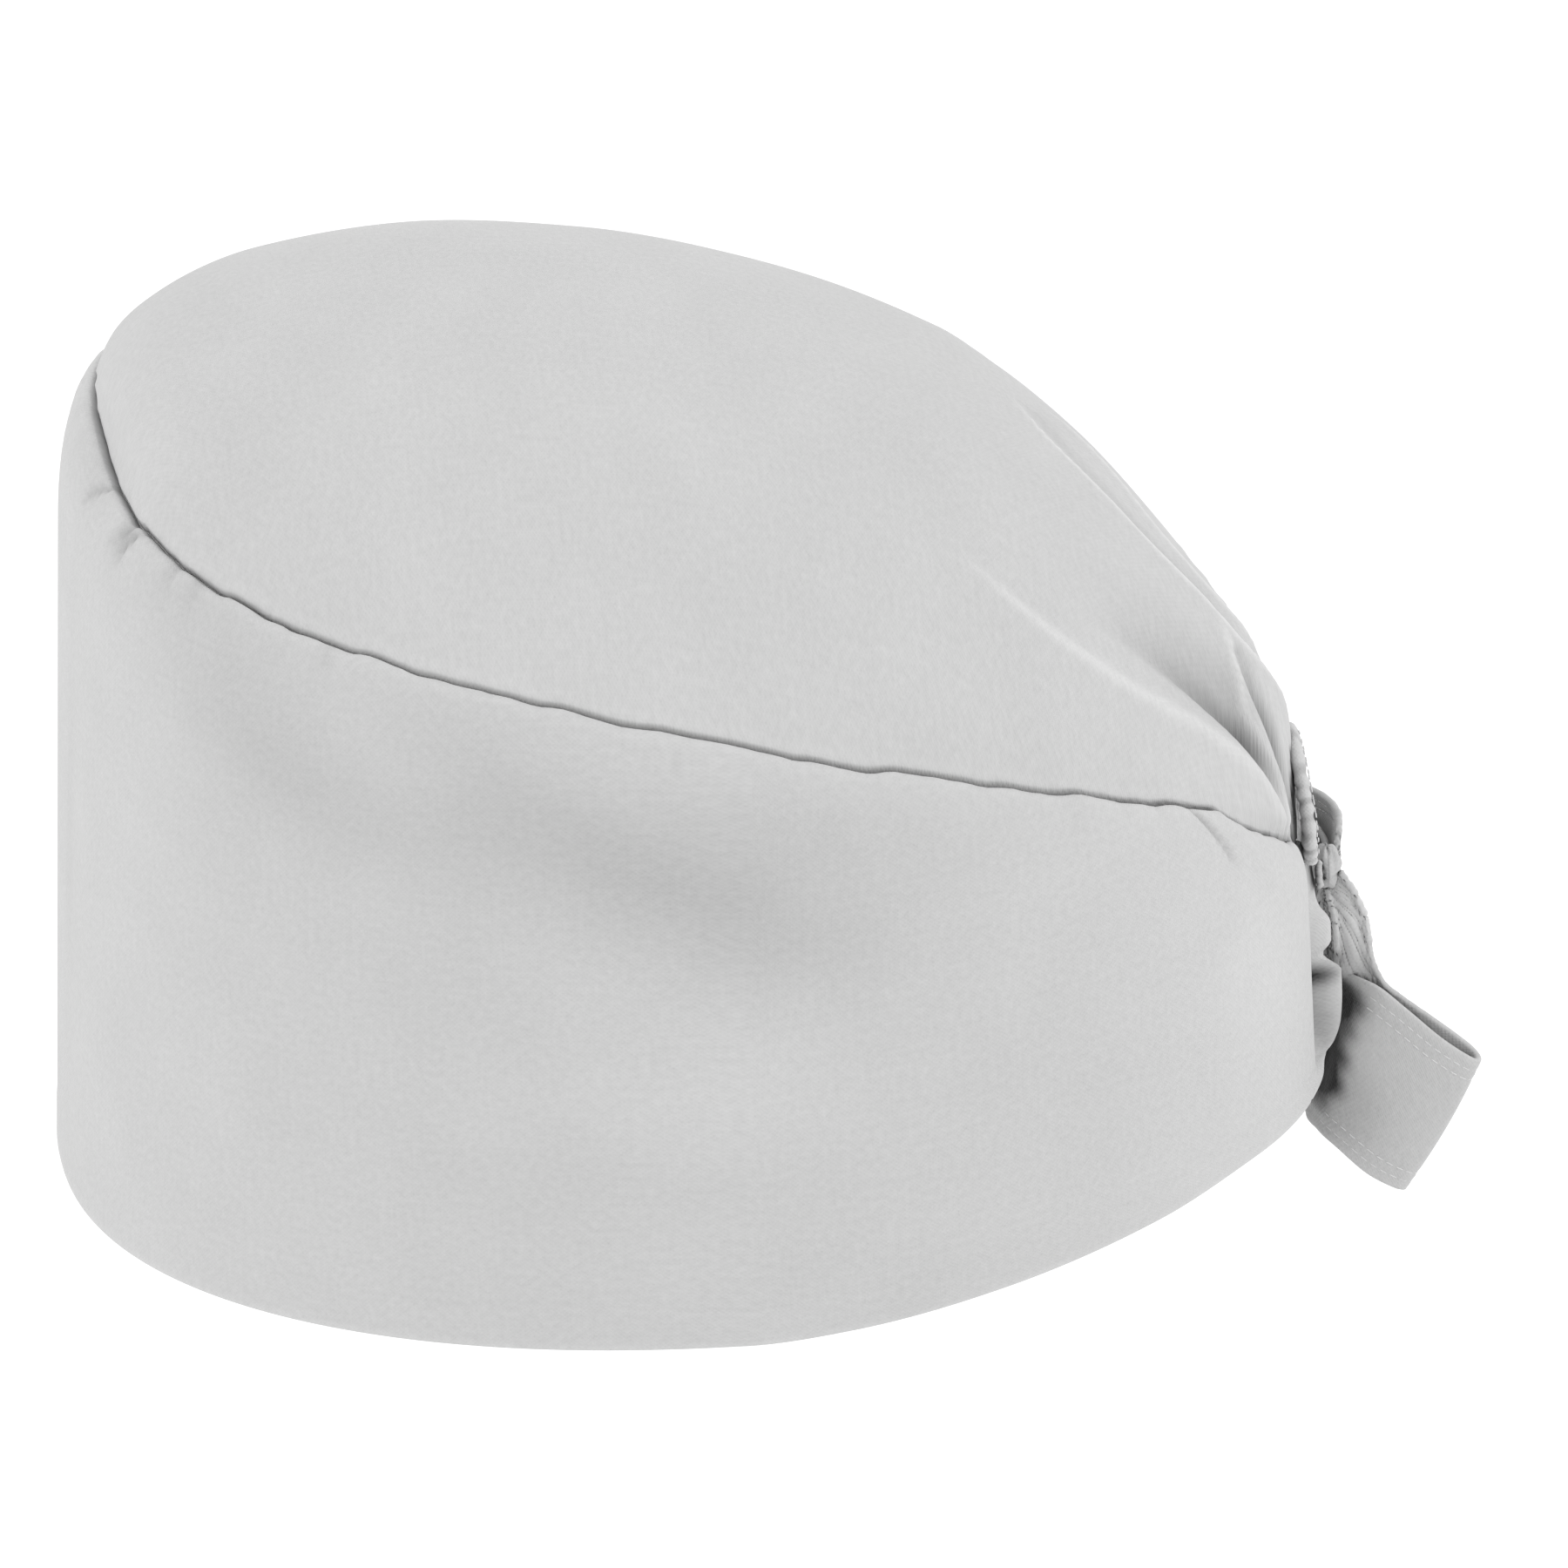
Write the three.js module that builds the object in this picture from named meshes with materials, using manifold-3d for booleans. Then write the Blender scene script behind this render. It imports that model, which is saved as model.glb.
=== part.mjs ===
// A tie-back cloth cap, shown as it is worn: an oval crown, a deep side band,
// a gathered casing at the back and a bow of flat ribbon. Millimetres.
// +Z is up, -Y is the forehead, +Y the back of the head and +X the wearer's left.
// The origin is the middle of the rim's opening, at the level of the front rim.
import * as THREE from "three";
import { mergeVertices } from "three/addons/utils/BufferGeometryUtils.js";
import Module from "manifold-3d";

const wasm = await Module();
wasm.setup();

// Wall thicknesses, the open line of the seam and the room kept between pieces.
const CLOTH = 1.5;
const RIBBON = 1.2;
const SEAM_GAP = 0.45;
const CLEAR = 0.35;
// A cut leaves no edge shorter than about this.
const TIDY = 0.01;

// The rim: half its width, its reach to the front and back, and how square the
// two ends of the oval are.
const RIM = { half: 89.4, front: 115.5, back: 117.6, squareFront: 2.24, squareBack: 2.0, middle: 0.6 };
// How far the rim stands above the front rim's level, towards the nape.
const RIM_LINE = [
  { y: -116.0, z: 0.0 },
  { y: 0.0, z: 0.0 },
  { y: 20.0, z: 1.4 },
  { y: 50.0, z: 5.2 },
  { y: 80.0, z: 9.6 },
  { y: 100.0, z: 12.2 },
  { y: 113.0, z: 12.0 },
  { y: 118.0, z: 11.4 },
];
// The seam between band and crown, the same way.
const SEAM = { half: 84.4, front: 107.8, back: 112.4, squareFront: 2.64, squareBack: 1.85, middle: 0.6 };
const SEAM_LINE = [
  { y: -107.8, z: 146.7 },
  { y: -95.0, z: 143.9 },
  { y: -80.0, z: 140.7 },
  { y: -60.0, z: 136.3 },
  { y: -40.0, z: 131.3 },
  { y: -15.0, z: 124.9 },
  { y: 0.0, z: 120.6 },
  { y: 16.0, z: 115.6 },
  { y: 33.0, z: 110.6 },
  { y: 47.0, z: 105.3 },
  { y: 60.0, z: 99.9 },
  { y: 73.0, z: 93.6 },
  { y: 88.0, z: 85.2 },
  { y: 94.0, z: 79.6 },
  { y: 100.0, z: 72.8 },
  { y: 107.5, z: 63.0 },
  { y: 112.4, z: 55.0 },
];

// The crown's middle line: how high it stands over each y.
const CROWN_LINE = [
  { y: -107.2, z: 147.0 },
  { y: -103.5, z: 157.6 },
  { y: -95.0, z: 166.0 },
  { y: -75.0, z: 173.4 },
  { y: -45.0, z: 176.6 },
  { y: -15.0, z: 173.6 },
  { y: 15.0, z: 166.0 },
  { y: 45.0, z: 153.0 },
  { y: 60.0, z: 142.2 },
  { y: 75.0, z: 128.0 },
  { y: 90.0, z: 110.2 },
  { y: 99.0, z: 99.2 },
  { y: 104.0, z: 92.0 },
  { y: 107.6, z: 85.4 },
  { y: 109.8, z: 78.0 },
  { y: 111.0, z: 69.0 },
  { y: 112.4, z: 55.0 },
];
// How squarely the crown arches across, from the forehead to the back.
const CROWN_ARCH = [
  { y: -108.0, arch: 2.9 },
  { y: -80.0, arch: 2.5 },
  { y: -50.0, arch: 2.4 },
  { y: 112.0, arch: 2.4 },
];
const CROWN_MIDDLE = -18;

// Folds that run over the crown into the gather, each from a start past a middle
// to an end point, with the height of its ridge, its half width where it starts
// and where it ends. A negative height is a valley.
const CROWN_FOLDS = [
  { x0: 48, y0: 44, x1: 52, y1: 82, x2: 24, y2: 104, height: 2.4, wide: 6.0, narrow: 3.4 },
  { x0: 40, y0: 60, x1: 38, y1: 86, x2: 17, y2: 104, height: -3.6, wide: 6.6, narrow: 3.6 },
  { x0: 2, y0: 52, x1: 26, y1: 76, x2: 4, y2: 107, height: 2.4, wide: 6.6, narrow: 3.6 },
  { x0: -12, y0: 60, x1: 2, y1: 84, x2: -5, y2: 106, height: -1.6, wide: 5.0, narrow: 3.2 },
  { x0: -28, y0: 58, x1: -26, y1: 86, x2: -11, y2: 105, height: 2.0, wide: 6.0, narrow: 3.4 },
  { x0: -42, y0: 58, x1: -40, y1: 86, x2: -18, y2: 103, height: -2.8, wide: 6.4, narrow: 3.4 },
  { x0: -54, y0: 46, x1: -54, y1: 80, x2: -26, y2: 103, height: 1.8, wide: 5.8, narrow: 3.4 },
];

// The band's shoulder under the seam, from the forehead (turn 0) to the back
// (turn 180): how far it curls in and how tall that curl is.
const SHOULDER = [
  { turn: 0, inset: 7.4, tall: 20.0 },
  { turn: 60, inset: 6.2, tall: 17.0 },
  { turn: 100, inset: 4.6, tall: 10.0 },
  { turn: 135, inset: 4.6, tall: 10.0 },
  { turn: 158, inset: 4.6, tall: 12.0 },
  { turn: 170, inset: 4.0, tall: 12.0 },
  { turn: 180, inset: 3.0, tall: 8.0 },
];
// Soft dents and puffs of the band: turn is minus on the wearer's right, up is
// the share of the way from rim to seam, and depth is minus for a puff.
const BAND_DENTS = [
  { turn: 62, up: 0.66, wide: 22, tall: 0.2, depth: 2.0 },
  { turn: 96, up: 0.6, wide: 16, tall: 0.13, depth: 1.8 },
  { turn: 84, up: 0.86, wide: 16, tall: 0.08, depth: -1.4 },
  { turn: 118, up: 0.84, wide: 15, tall: 0.1, depth: -1.6 },
  { turn: 46, up: 0.88, wide: 9, tall: 0.07, depth: -1.2 },
  { turn: 138, up: 0.5, wide: 16, tall: 0.3, depth: -1.6 },
  { turn: 128, up: 0.28, wide: 12, tall: 0.16, depth: 1.4 },
  { turn: -66, up: 0.62, wide: 24, tall: 0.2, depth: 1.8 },
  { turn: -104, up: 0.56, wide: 16, tall: 0.14, depth: 1.8 },
  { turn: -88, up: 0.86, wide: 18, tall: 0.09, depth: -1.2 },
  { turn: -136, up: 0.5, wide: 16, tall: 0.3, depth: -1.4 },
];
// The band's free ends, from rim (up 0) to seam (up 1): how far round they
// reach, how deep the groove before the edge is and how far the edge flares out.
const BAND_END = [
  { up: 0.0, turn: 166.2, groove: 0.0, flare: 0.0 },
  { up: 0.07, turn: 168.0, groove: 0.6, flare: 0.6 },
  { up: 0.14, turn: 171.0, groove: 2.6, flare: 2.2 },
  { up: 0.24, turn: 173.2, groove: 4.2, flare: 3.4 },
  { up: 0.38, turn: 173.8, groove: 4.6, flare: 4.2 },
  { up: 0.48, turn: 173.8, groove: 4.6, flare: 1.0 },
  { up: 0.58, turn: 173.8, groove: 4.0, flare: 2.6 },
  { up: 0.7, turn: 174.0, groove: 3.4, flare: 3.0 },
  { up: 0.82, turn: 174.0, groove: 3.2, flare: 0.6 },
  { up: 0.92, turn: 174.0, groove: 1.6, flare: 0.0 },
  { up: 1.0, turn: 174.0, groove: 0.0, flare: 0.0 },
];
const GROOVE_TURN = 170.0;
const GROOVE_WIDE = 2.4;
const FLARE_WIDE = 1.8;

// The casing: the ruffled arch over the two band ends that the crown's back edge
// is gathered into.
const CASING_PATH = [
  { x: 10.8, y: 115.5, z: 54.4 },
  { x: 9.8, y: 115.1, z: 61.2 },
  { x: 6.0, y: 114.0, z: 68.0 },
  { x: 0.0, y: 113.5, z: 70.8 },
  { x: -6.0, y: 114.0, z: 68.0 },
  { x: -9.8, y: 115.1, z: 61.2 },
  { x: -10.8, y: 115.5, z: 54.4 },
];
const CASING = { across: 3.2, thick: 1.3, ribs: 11, rib: 0.45 };

// The knot of the bow.
const KNOT = { x: 0.8, y: 118.4, z: 47.4, half: [4.4, 2.8, 4.0], crease: 0.7 };

// Ribbons: a row is one cross-section, with its two edges a and b, the height of
// its crosswise bow and the depth of the lengthwise pleats that bunch it.
const LOOP_LEFT = [
  { a: [2.8, 120.8, 46.8], b: [2.6, 118.0, 43.6], bow: 0.6, pleat: 0.5 },
  { a: [4.6, 123.2, 43.4], b: [4.2, 118.6, 41.0], bow: 0.7, pleat: 0.8 },
  { a: [5.6, 125.3, 38.0], b: [5.2, 119.4, 36.8], bow: 0.5, pleat: 1.0 },
  { a: [5.8, 126.3, 30.2], b: [4.4, 119.6, 27.0], bow: 0.3, pleat: 0.9 },
  { a: [6.2, 128.7, 24.9], b: [3.8, 119.0, 11.6], bow: 0.4, pleat: 0.6 },
  { a: [7.4, 134.2, 20.5], b: [4.8, 121.2, -3.4], bow: 0.0, pleat: 0.3 },
  { a: [8.8, 140.4, 15.8], b: [7.8, 126.4, -11.4], bow: -0.4, pleat: 0.0 },
  { a: [10.4, 144.3, 12.8], b: [10.8, 130.8, -12.9], bow: 0.6, pleat: 0.0 },
  { a: [12.6, 145.0, 12.0], b: [13.2, 131.2, -13.0], bow: 0.8, pleat: 0.0 },
  { a: [14.6, 143.6, 12.8], b: [15.2, 129.6, -12.2], bow: 0.6, pleat: 0.0 },
  { a: [14.4, 138.0, 17.0], b: [15.2, 124.2, -8.8], bow: 1.2, pleat: 0.0 },
  { a: [12.6, 131.6, 22.6], b: [12.8, 118.8, -4.2], bow: 1.4, pleat: 0.0 },
  { a: [10.4, 126.8, 26.6], b: [9.0, 116.2, -2.8], bow: 0.6, pleat: 0.2 },
  { a: [6.0, 121.6, 27.4], b: [4.8, 114.2, -0.6], bow: -0.6, pleat: 0.4 },
  { a: [2.4, 119.4, 31.4], b: [2.0, 114.6, 14.0], bow: -0.4, pleat: 0.6 },
  { a: [1.8, 119.0, 37.6], b: [1.4, 115.8, 31.6], bow: -0.2, pleat: 0.6 },
  { a: [1.6, 119.6, 44.4], b: [1.2, 117.2, 43.6], bow: 0.2, pleat: 0.4 },
];
const LOOP_RIGHT = [
  { a: [-1.4, 120.6, 50.0], b: [-1.6, 120.4, 46.0], bow: -0.2, pleat: 0.3 },
  { a: [-3.8, 121.3, 54.4], b: [-4.8, 119.4, 42.0], bow: -0.1, pleat: 0.3 },
  { a: [-9.0, 121.1, 54.5], b: [-10.6, 119.8, 36.4], bow: -0.3, pleat: 0.3 },
  { a: [-17.0, 119.8, 53.0], b: [-19.0, 120.4, 28.6], bow: -0.4, pleat: 0.3 },
  { a: [-28.0, 117.0, 49.8], b: [-30.0, 118.6, 23.2], bow: -0.8, pleat: 0.0 },
  { a: [-39.0, 112.6, 46.8], b: [-41.0, 114.0, 19.8], bow: 0.0, pleat: 0.0 },
  { a: [-42.6, 110.4, 46.0], b: [-44.6, 111.8, 19.0], bow: 0.0, pleat: 0.0 },
  { a: [-41.0, 108.4, 46.0], b: [-43.4, 110.0, 19.0], bow: 0.0, pleat: 0.0 },
  { a: [-33.0, 110.8, 47.2], b: [-34.6, 112.6, 21.2], bow: -0.4, pleat: 0.0 },
  { a: [-23.0, 114.4, 48.4], b: [-24.0, 116.2, 25.0], bow: -0.4, pleat: 0.2 },
  { a: [-14.6, 117.4, 49.0], b: [-15.0, 118.2, 31.0], bow: -0.2, pleat: 0.2 },
  { a: [-8.0, 118.8, 48.8], b: [-8.2, 118.5, 38.6], bow: -0.1, pleat: 0.2 },
  { a: [-2.2, 118.8, 48.4], b: [-2.2, 118.6, 44.6], bow: 0.0, pleat: 0.2 },
];
const TAIL_RIGHT = [
  { a: [-2.0, 118.2, 45.2], b: [0.2, 118.6, 44.4], bow: 0.2, pleat: 0.3 },
  { a: [-3.8, 118.4, 38.6], b: [-0.8, 118.8, 37.6], bow: 0.4, pleat: 0.5 },
  { a: [-9.2, 120.4, 31.4], b: [-0.8, 120.8, 29.0], bow: 0.5, pleat: 0.6 },
  { a: [-17.6, 120.8, 22.6], b: [-1.4, 121.0, 18.0], bow: 0.4, pleat: 0.4 },
  { a: [-24.8, 120.6, 12.6], b: [-2.6, 121.2, 6.4], bow: 0.3, pleat: 0.1 },
  { a: [-29.4, 120.2, 3.0], b: [-4.0, 121.2, -4.8], bow: 0.2, pleat: 0.0 },
];
const TAIL_LEFT = [
  { a: [0.4, 119.6, 45.0], b: [0.0, 120.8, 44.8], bow: -0.3, pleat: 0.3 },
  { a: [-0.2, 121.6, 38.0], b: [-0.6, 123.6, 37.0], bow: -1.6, pleat: 0.4 },
  { a: [-0.8, 122.8, 28.6], b: [-1.2, 126.2, 27.4], bow: -4.6, pleat: 0.5 },
  { a: [-0.8, 123.0, 16.6], b: [-1.6, 127.6, 15.0], bow: -7.4, pleat: 0.4 },
  { a: [-0.8, 123.2, 5.2], b: [-2.0, 128.6, 3.2], bow: -9.0, pleat: 0.2 },
];
// The two short runs of ribbon from the casing's ends to the knot.
const TIE_LEFT = [
  { a: [10.6, 115.9, 53.0], b: [10.2, 116.2, 48.0], bow: 0.2, pleat: 0.2 },
  { a: [7.6, 116.1, 51.4], b: [7.4, 116.3, 46.4], bow: 0.2, pleat: 0.2 },
  { a: [3.4, 116.8, 49.6], b: [3.2, 117.0, 45.8], bow: 0.2, pleat: 0.2 },
];
const COUNTS = { around: 66, up: 12, rings: 13 };
const RIGHT_END = 0.4;

const vec = (x, y, z) => new THREE.Vector3(x, y, z);
const mix = (a, b, t) => a + (b - a) * t;
const clamp = (t) => Math.min(1, Math.max(0, t));
const power = (value, exponent) => Math.sign(value) * Math.abs(value) ** exponent;
const bell = (t) => Math.exp(-t * t);

// A smooth value between the rows of a table, by one of its columns.
function read(rows, by, at, column) {
  const last = rows.length - 1;
  let i = 0;
  while (i < last - 1 && at > rows[i + 1][by]) i += 1;
  const t = clamp((at - rows[i][by]) / (rows[i + 1][by] - rows[i][by]));
  const slope = (j) => {
    if (j === 0 || j === last) return 0;
    const left = (rows[j][column] - rows[j - 1][column]) / (rows[j][by] - rows[j - 1][by]);
    const right = (rows[j + 1][column] - rows[j][column]) / (rows[j + 1][by] - rows[j][by]);
    if (left * right <= 0) return 0;
    return (2 * left * right) / (left + right);
  };
  const step = rows[i + 1][by] - rows[i][by];
  const ends = (j) => (j === 0
    ? (rows[1][column] - rows[0][column]) / (rows[1][by] - rows[0][by])
    : j === last
      ? (rows[last][column] - rows[last - 1][column]) / (rows[last][by] - rows[last - 1][by])
      : slope(j));
  const p = rows[i][column];
  const q = rows[i + 1][column];
  const t2 = t * t;
  const t3 = t2 * t;
  return (2 * t3 - 3 * t2 + 1) * p + (t3 - 2 * t2 + t) * step * ends(i)
    + (3 * t2 - 2 * t3) * q + (t3 - t2) * step * ends(i + 1);
}

// A Catmull-Rom point through a list of values, at a position from 0 to 1.
function through(values, at) {
  const spans = values.length - 1;
  const place = clamp(at) * spans;
  const i = Math.min(Math.floor(place), spans - 1);
  const t = place - i;
  const p1 = values[i];
  const p2 = values[i + 1];
  const p0 = i > 0 ? values[i - 1] : 2 * p1 - p2;
  const p3 = i + 2 <= spans ? values[i + 2] : 2 * p2 - p1;
  return 0.5 * (2 * p1 + (p2 - p0) * t + (2 * p0 - 5 * p1 + 4 * p2 - p3) * t * t
    + (3 * p1 - p0 - 3 * p2 + p3) * t * t * t);
}

// A point of an oval: turn 0 is the forehead and turn 180 the back.
function ovalPoint(oval, turn) {
  const angle = THREE.MathUtils.degToRad(turn);
  const along = -Math.cos(angle);
  const side = Math.sin(angle);
  const square = along < 0 ? oval.squareFront : oval.squareBack;
  const reach = (along < 0 ? oval.front : oval.back) - (along < 0 ? -oval.middle : oval.middle);
  return vec(oval.half * power(side, 2 / square), oval.middle + reach * power(along, 2 / square), 0);
}

const seamHeight = (y) => read(SEAM_LINE, "y", y, "z");

function rimPoint(turn) {
  const p = ovalPoint(RIM, turn);
  p.z = read(RIM_LINE, "y", p.y, "z");
  return p;
}

function seamPoint(turn) {
  const p = ovalPoint(SEAM, turn);
  p.z = seamHeight(p.y);
  return p;
}

// The way out of the cap at a turn, level with the ground.
function outward(turn) {
  const a = ovalPoint(RIM, turn - 0.5);
  const b = ovalPoint(RIM, turn + 0.5);
  return vec(b.y - a.y, a.x - b.x, 0).normalize();
}

// The band's outer face.
function bandPoint(turn, up) {
  const side = Math.abs(turn);
  const rim = rimPoint(turn);
  const seam = seamPoint(turn);
  const out = outward(turn);
  const inset = read(SHOULDER, "turn", side, "inset");
  const tall = read(SHOULDER, "turn", side, "tall");
  const top = seam.clone().addScaledVector(out, inset);
  top.z -= tall;
  const wall = 0.86;
  const p = rim.clone().lerp(top, Math.min(1, up / wall));
  const belly = Math.sin(Math.PI * clamp(up / 0.95));
  p.addScaledVector(out, 1.6 * belly * Math.sin(THREE.MathUtils.degToRad(side)) ** 2);
  if (up > wall) {
    const curl = ((up - wall) / (1 - wall)) * THREE.MathUtils.degToRad(98);
    const full = THREE.MathUtils.degToRad(98);
    p.addScaledVector(out, -inset * (1 - Math.cos(curl)) / (1 - Math.cos(full)));
    p.z += tall * Math.sin(curl) / Math.sin(full);
  }
  for (const dent of BAND_DENTS) {
    const across = (turn - dent.turn) / dent.wide;
    const upward = (up - dent.up) / dent.tall;
    p.addScaledVector(out, -dent.depth * bell(across) * bell(upward));
  }
  const share = turn < 0 ? RIGHT_END : 1;
  const groove = share * read(BAND_END, "up", up, "groove");
  const flare = share * read(BAND_END, "up", up, "flare");
  const end = read(BAND_END, "up", up, "turn");
  p.addScaledVector(out, -groove * bell((side - GROOVE_TURN) / GROOVE_WIDE));
  p.addScaledVector(out, flare * bell((side - end) / FLARE_WIDE));
  return p;
}

// The crown's outer face: half its width at y.
function crownHalf(y) {
  const away = y - SEAM.middle;
  const square = away < 0 ? SEAM.squareFront : SEAM.squareBack;
  const reach = away < 0 ? SEAM.front + SEAM.middle : SEAM.back - SEAM.middle;
  const left = 1 - Math.abs(away / reach) ** square;
  return SEAM.half * Math.max(0, left) ** (1 / square);
}

// How far a point is from a fold's curve, and how far along the fold that is.
function foldAt(fold, x, y) {
  let best = Infinity;
  let where = 0;
  for (let i = 0; i <= 24; i += 1) {
    const t = i / 24;
    const u = 1 - t;
    const dx = x - (u * u * fold.x0 + 2 * u * t * fold.x1 + t * t * fold.x2);
    const dy = y - (u * u * fold.y0 + 2 * u * t * fold.y1 + t * t * fold.y2);
    const off = Math.hypot(dx, dy);
    if (off < best) {
      best = off;
      where = t;
    }
  }
  return [best, where];
}

function crownFold(x, y) {
  let rise = 0;
  for (const fold of CROWN_FOLDS) {
    const [off, where] = foldAt(fold, x, y);
    const width = mix(fold.wide, fold.narrow, where);
    const grow = Math.sin((Math.PI / 2) * clamp(where * 1.6));
    const fade = 1 - 0.65 * clamp((where - 0.85) / 0.15);
    rise += fold.height * grow * fade * bell(off / width);
  }
  return rise;
}

function crownBase(x, y) {
  const half = Math.max(0.5, crownHalf(y));
  const low = seamHeight(y);
  const high = Math.max(low, read(CROWN_LINE, "y", y, "z"));
  const arch = read(CROWN_ARCH, "y", y, "arch");
  return low + (high - low) * (1 - clamp(Math.abs(x) / half) ** arch);
}

function crownPoint(turn, out, folds = 1) {
  const edge = seamPoint(turn);
  edge.addScaledVector(outward(turn), -SEAM_GAP);
  const x = edge.x * out;
  const y = mix(CROWN_MIDDLE, edge.y, out);
  if (out > 0.9999) return vec(x, y, seamHeight(edge.y));
  const p = vec(x, y, crownBase(x, y));
  if (!folds) return p;
  const nearEdge = clamp((p.z - seamHeight(edge.y)) / 5);
  const step = 0.4;
  const slopeX = (crownBase(x + step, y) - crownBase(x - step, y)) / (2 * step);
  const slopeY = (crownBase(x, y + step) - crownBase(x, y - step)) / (2 * step);
  const normal = vec(-slopeX, -slopeY, 1).normalize();
  return p.addScaledVector(normal, crownFold(x, y) * nearEdge);
}

// The rings of the crown are evenly spaced along the cloth from its middle to
// the seam, because the cloth falls steeply at the forehead and the back.
function crownRings(turn) {
  const fine = 160;
  const length = [0];
  let before = crownPoint(turn, 0, 0);
  for (let i = 1; i <= fine; i += 1) {
    const next = crownPoint(turn, i / fine, 0);
    length.push(length[i - 1] + next.distanceTo(before));
    before = next;
  }
  const outs = [];
  for (let j = 0; j <= COUNTS.rings; j += 1) {
    const want = length[fine] * (j / COUNTS.rings) ** 0.9;
    let i = 1;
    while (i < fine && length[i] < want) i += 1;
    const part = clamp((want - length[i - 1]) / (length[i] - length[i - 1]));
    outs.push(j === COUNTS.rings ? 1 : (i - 1 + part) / fine);
  }
  return outs.map((out) => crownPoint(turn, out));
}

// A grid of points for the outer face becomes a closed cloth wall of an even
// thickness. "ring" joins the last column to the first, "pole" says that the
// first row is one point, and "lift" moves the outer face out.
function wall(grid, thick, { ring = false, pole = false, middle = false, lift = 0 } = {}) {
  const columns = grid.length;
  const rows = grid[0].length;
  const at = (i, j) => {
    const c = ring ? (i + columns) % columns : Math.min(columns - 1, Math.max(0, i));
    return grid[c][Math.min(rows - 1, Math.max(0, j))];
  };
  const normals = grid.map((column, i) => column.map((p, j) => {
    const along = at(i + 1, j).clone().sub(at(i - 1, j));
    const across = at(i, j + 1).clone().sub(at(i, j - 1));
    return along.cross(across).normalize();
  }));
  if (pole) {
    const n = vec(0, 0, 0);
    normals.forEach((column) => n.add(column[1]));
    n.normalize();
    normals.forEach((column) => column[0].copy(n));
  }
  const points = [];
  const faces = [0, 1].map((side) => grid.map((column, i) => column.map((p, j) => {
    const shift = middle ? (0.5 - side) * thick : lift - side * (thick + lift);
    points.push(p.clone().addScaledVector(normals[i][j], shift));
    return points.length - 1;
  })));
  const triangles = [];
  const face = (a, b, c) => {
    if (a !== b && b !== c && a !== c) triangles.push([a, b, c]);
  };
  const last = ring ? columns : columns - 1;
  for (let i = 0; i < last; i += 1) {
    const k = (i + 1) % columns;
    for (let j = 0; j < rows - 1; j += 1) {
      for (const side of [0, 1]) {
        const f = faces[side];
        const quad = [f[i][j], f[k][j], f[k][j + 1], f[i][j + 1]];
        if (side === 1) quad.reverse();
        if (pole && j === 0) {
          const centre = faces[side][0][0];
          if (side === 0) face(centre, quad[2], quad[3]);
          else face(centre, quad[0], quad[1]);
        } else {
          face(quad[0], quad[1], quad[2]);
          face(quad[0], quad[2], quad[3]);
        }
      }
    }
    const edges = pole ? [rows - 1] : [0, rows - 1];
    for (const j of edges) {
      const a = faces[0][i][j];
      const b = faces[0][k][j];
      const c = faces[1][k][j];
      const d = faces[1][i][j];
      if (j === 0) {
        face(b, a, d);
        face(b, d, c);
      } else {
        face(a, b, c);
        face(a, c, d);
      }
    }
  }
  if (!ring) {
    for (const i of [0, columns - 1]) {
      for (let j = 0; j < rows - 1; j += 1) {
        const a = faces[0][i][j];
        const b = faces[0][i][j + 1];
        const c = faces[1][i][j + 1];
        const d = faces[1][i][j];
        if (i === 0) {
          face(a, b, c);
          face(a, c, d);
        } else {
          face(b, a, d);
          face(b, d, c);
        }
      }
    }
  }
  return solid(points, triangles);
}

// A closed body from rings of points, with a cap at each end.
function tube(rings) {
  const points = [];
  const triangles = [];
  const around = rings[0].length;
  rings.forEach((ring) => ring.forEach((p) => points.push(p)));
  for (let i = 0; i < rings.length - 1; i += 1) {
    for (let j = 0; j < around; j += 1) {
      const k = (j + 1) % around;
      const a = i * around + j;
      const b = i * around + k;
      triangles.push([a, b, b + around]);
      triangles.push([a, b + around, a + around]);
    }
  }
  [0, rings.length - 1].forEach((i) => {
    const middle = vec(0, 0, 0);
    rings[i].forEach((p) => middle.addScaledVector(p, 1 / around));
    points.push(middle);
    const c = points.length - 1;
    for (let j = 0; j < around; j += 1) {
      const k = (j + 1) % around;
      if (i === 0) triangles.push([c, i * around + k, i * around + j]);
      else triangles.push([c, i * around + j, i * around + k]);
    }
  });
  return solid(points, triangles);
}

function solid(points, triangles) {
  const geometry = new THREE.BufferGeometry();
  const flat = new Float32Array(points.length * 3);
  points.forEach((p, i) => p.toArray(flat, i * 3));
  geometry.setAttribute("position", new THREE.BufferAttribute(flat, 3));
  let volume = 0;
  triangles.forEach(([a, b, c]) => {
    volume += points[a].dot(points[b].clone().cross(points[c])) / 6;
  });
  const turned = volume < 0 ? triangles.map(([a, b, c]) => [a, c, b]) : triangles;
  geometry.setIndex(turned.flat());
  return geometry;
}

// A boolean cut that keeps a solid clear of another.
function asManifold(geometry) {
  const merged = mergeVertices(geometry, 1e-4);
  const vertProperties = merged.attributes.position.array;
  const triVerts = Uint32Array.from(merged.index.array);
  return new wasm.Manifold(new wasm.Mesh({ numProp: 3, vertProperties, triVerts }));
}

function fromManifold(body) {
  const mesh = body.getMesh();
  const geometry = new THREE.BufferGeometry();
  geometry.setAttribute("position", new THREE.BufferAttribute(mesh.vertProperties, 3));
  geometry.setIndex(Array.from(mesh.triVerts));
  return geometry;
}

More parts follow.
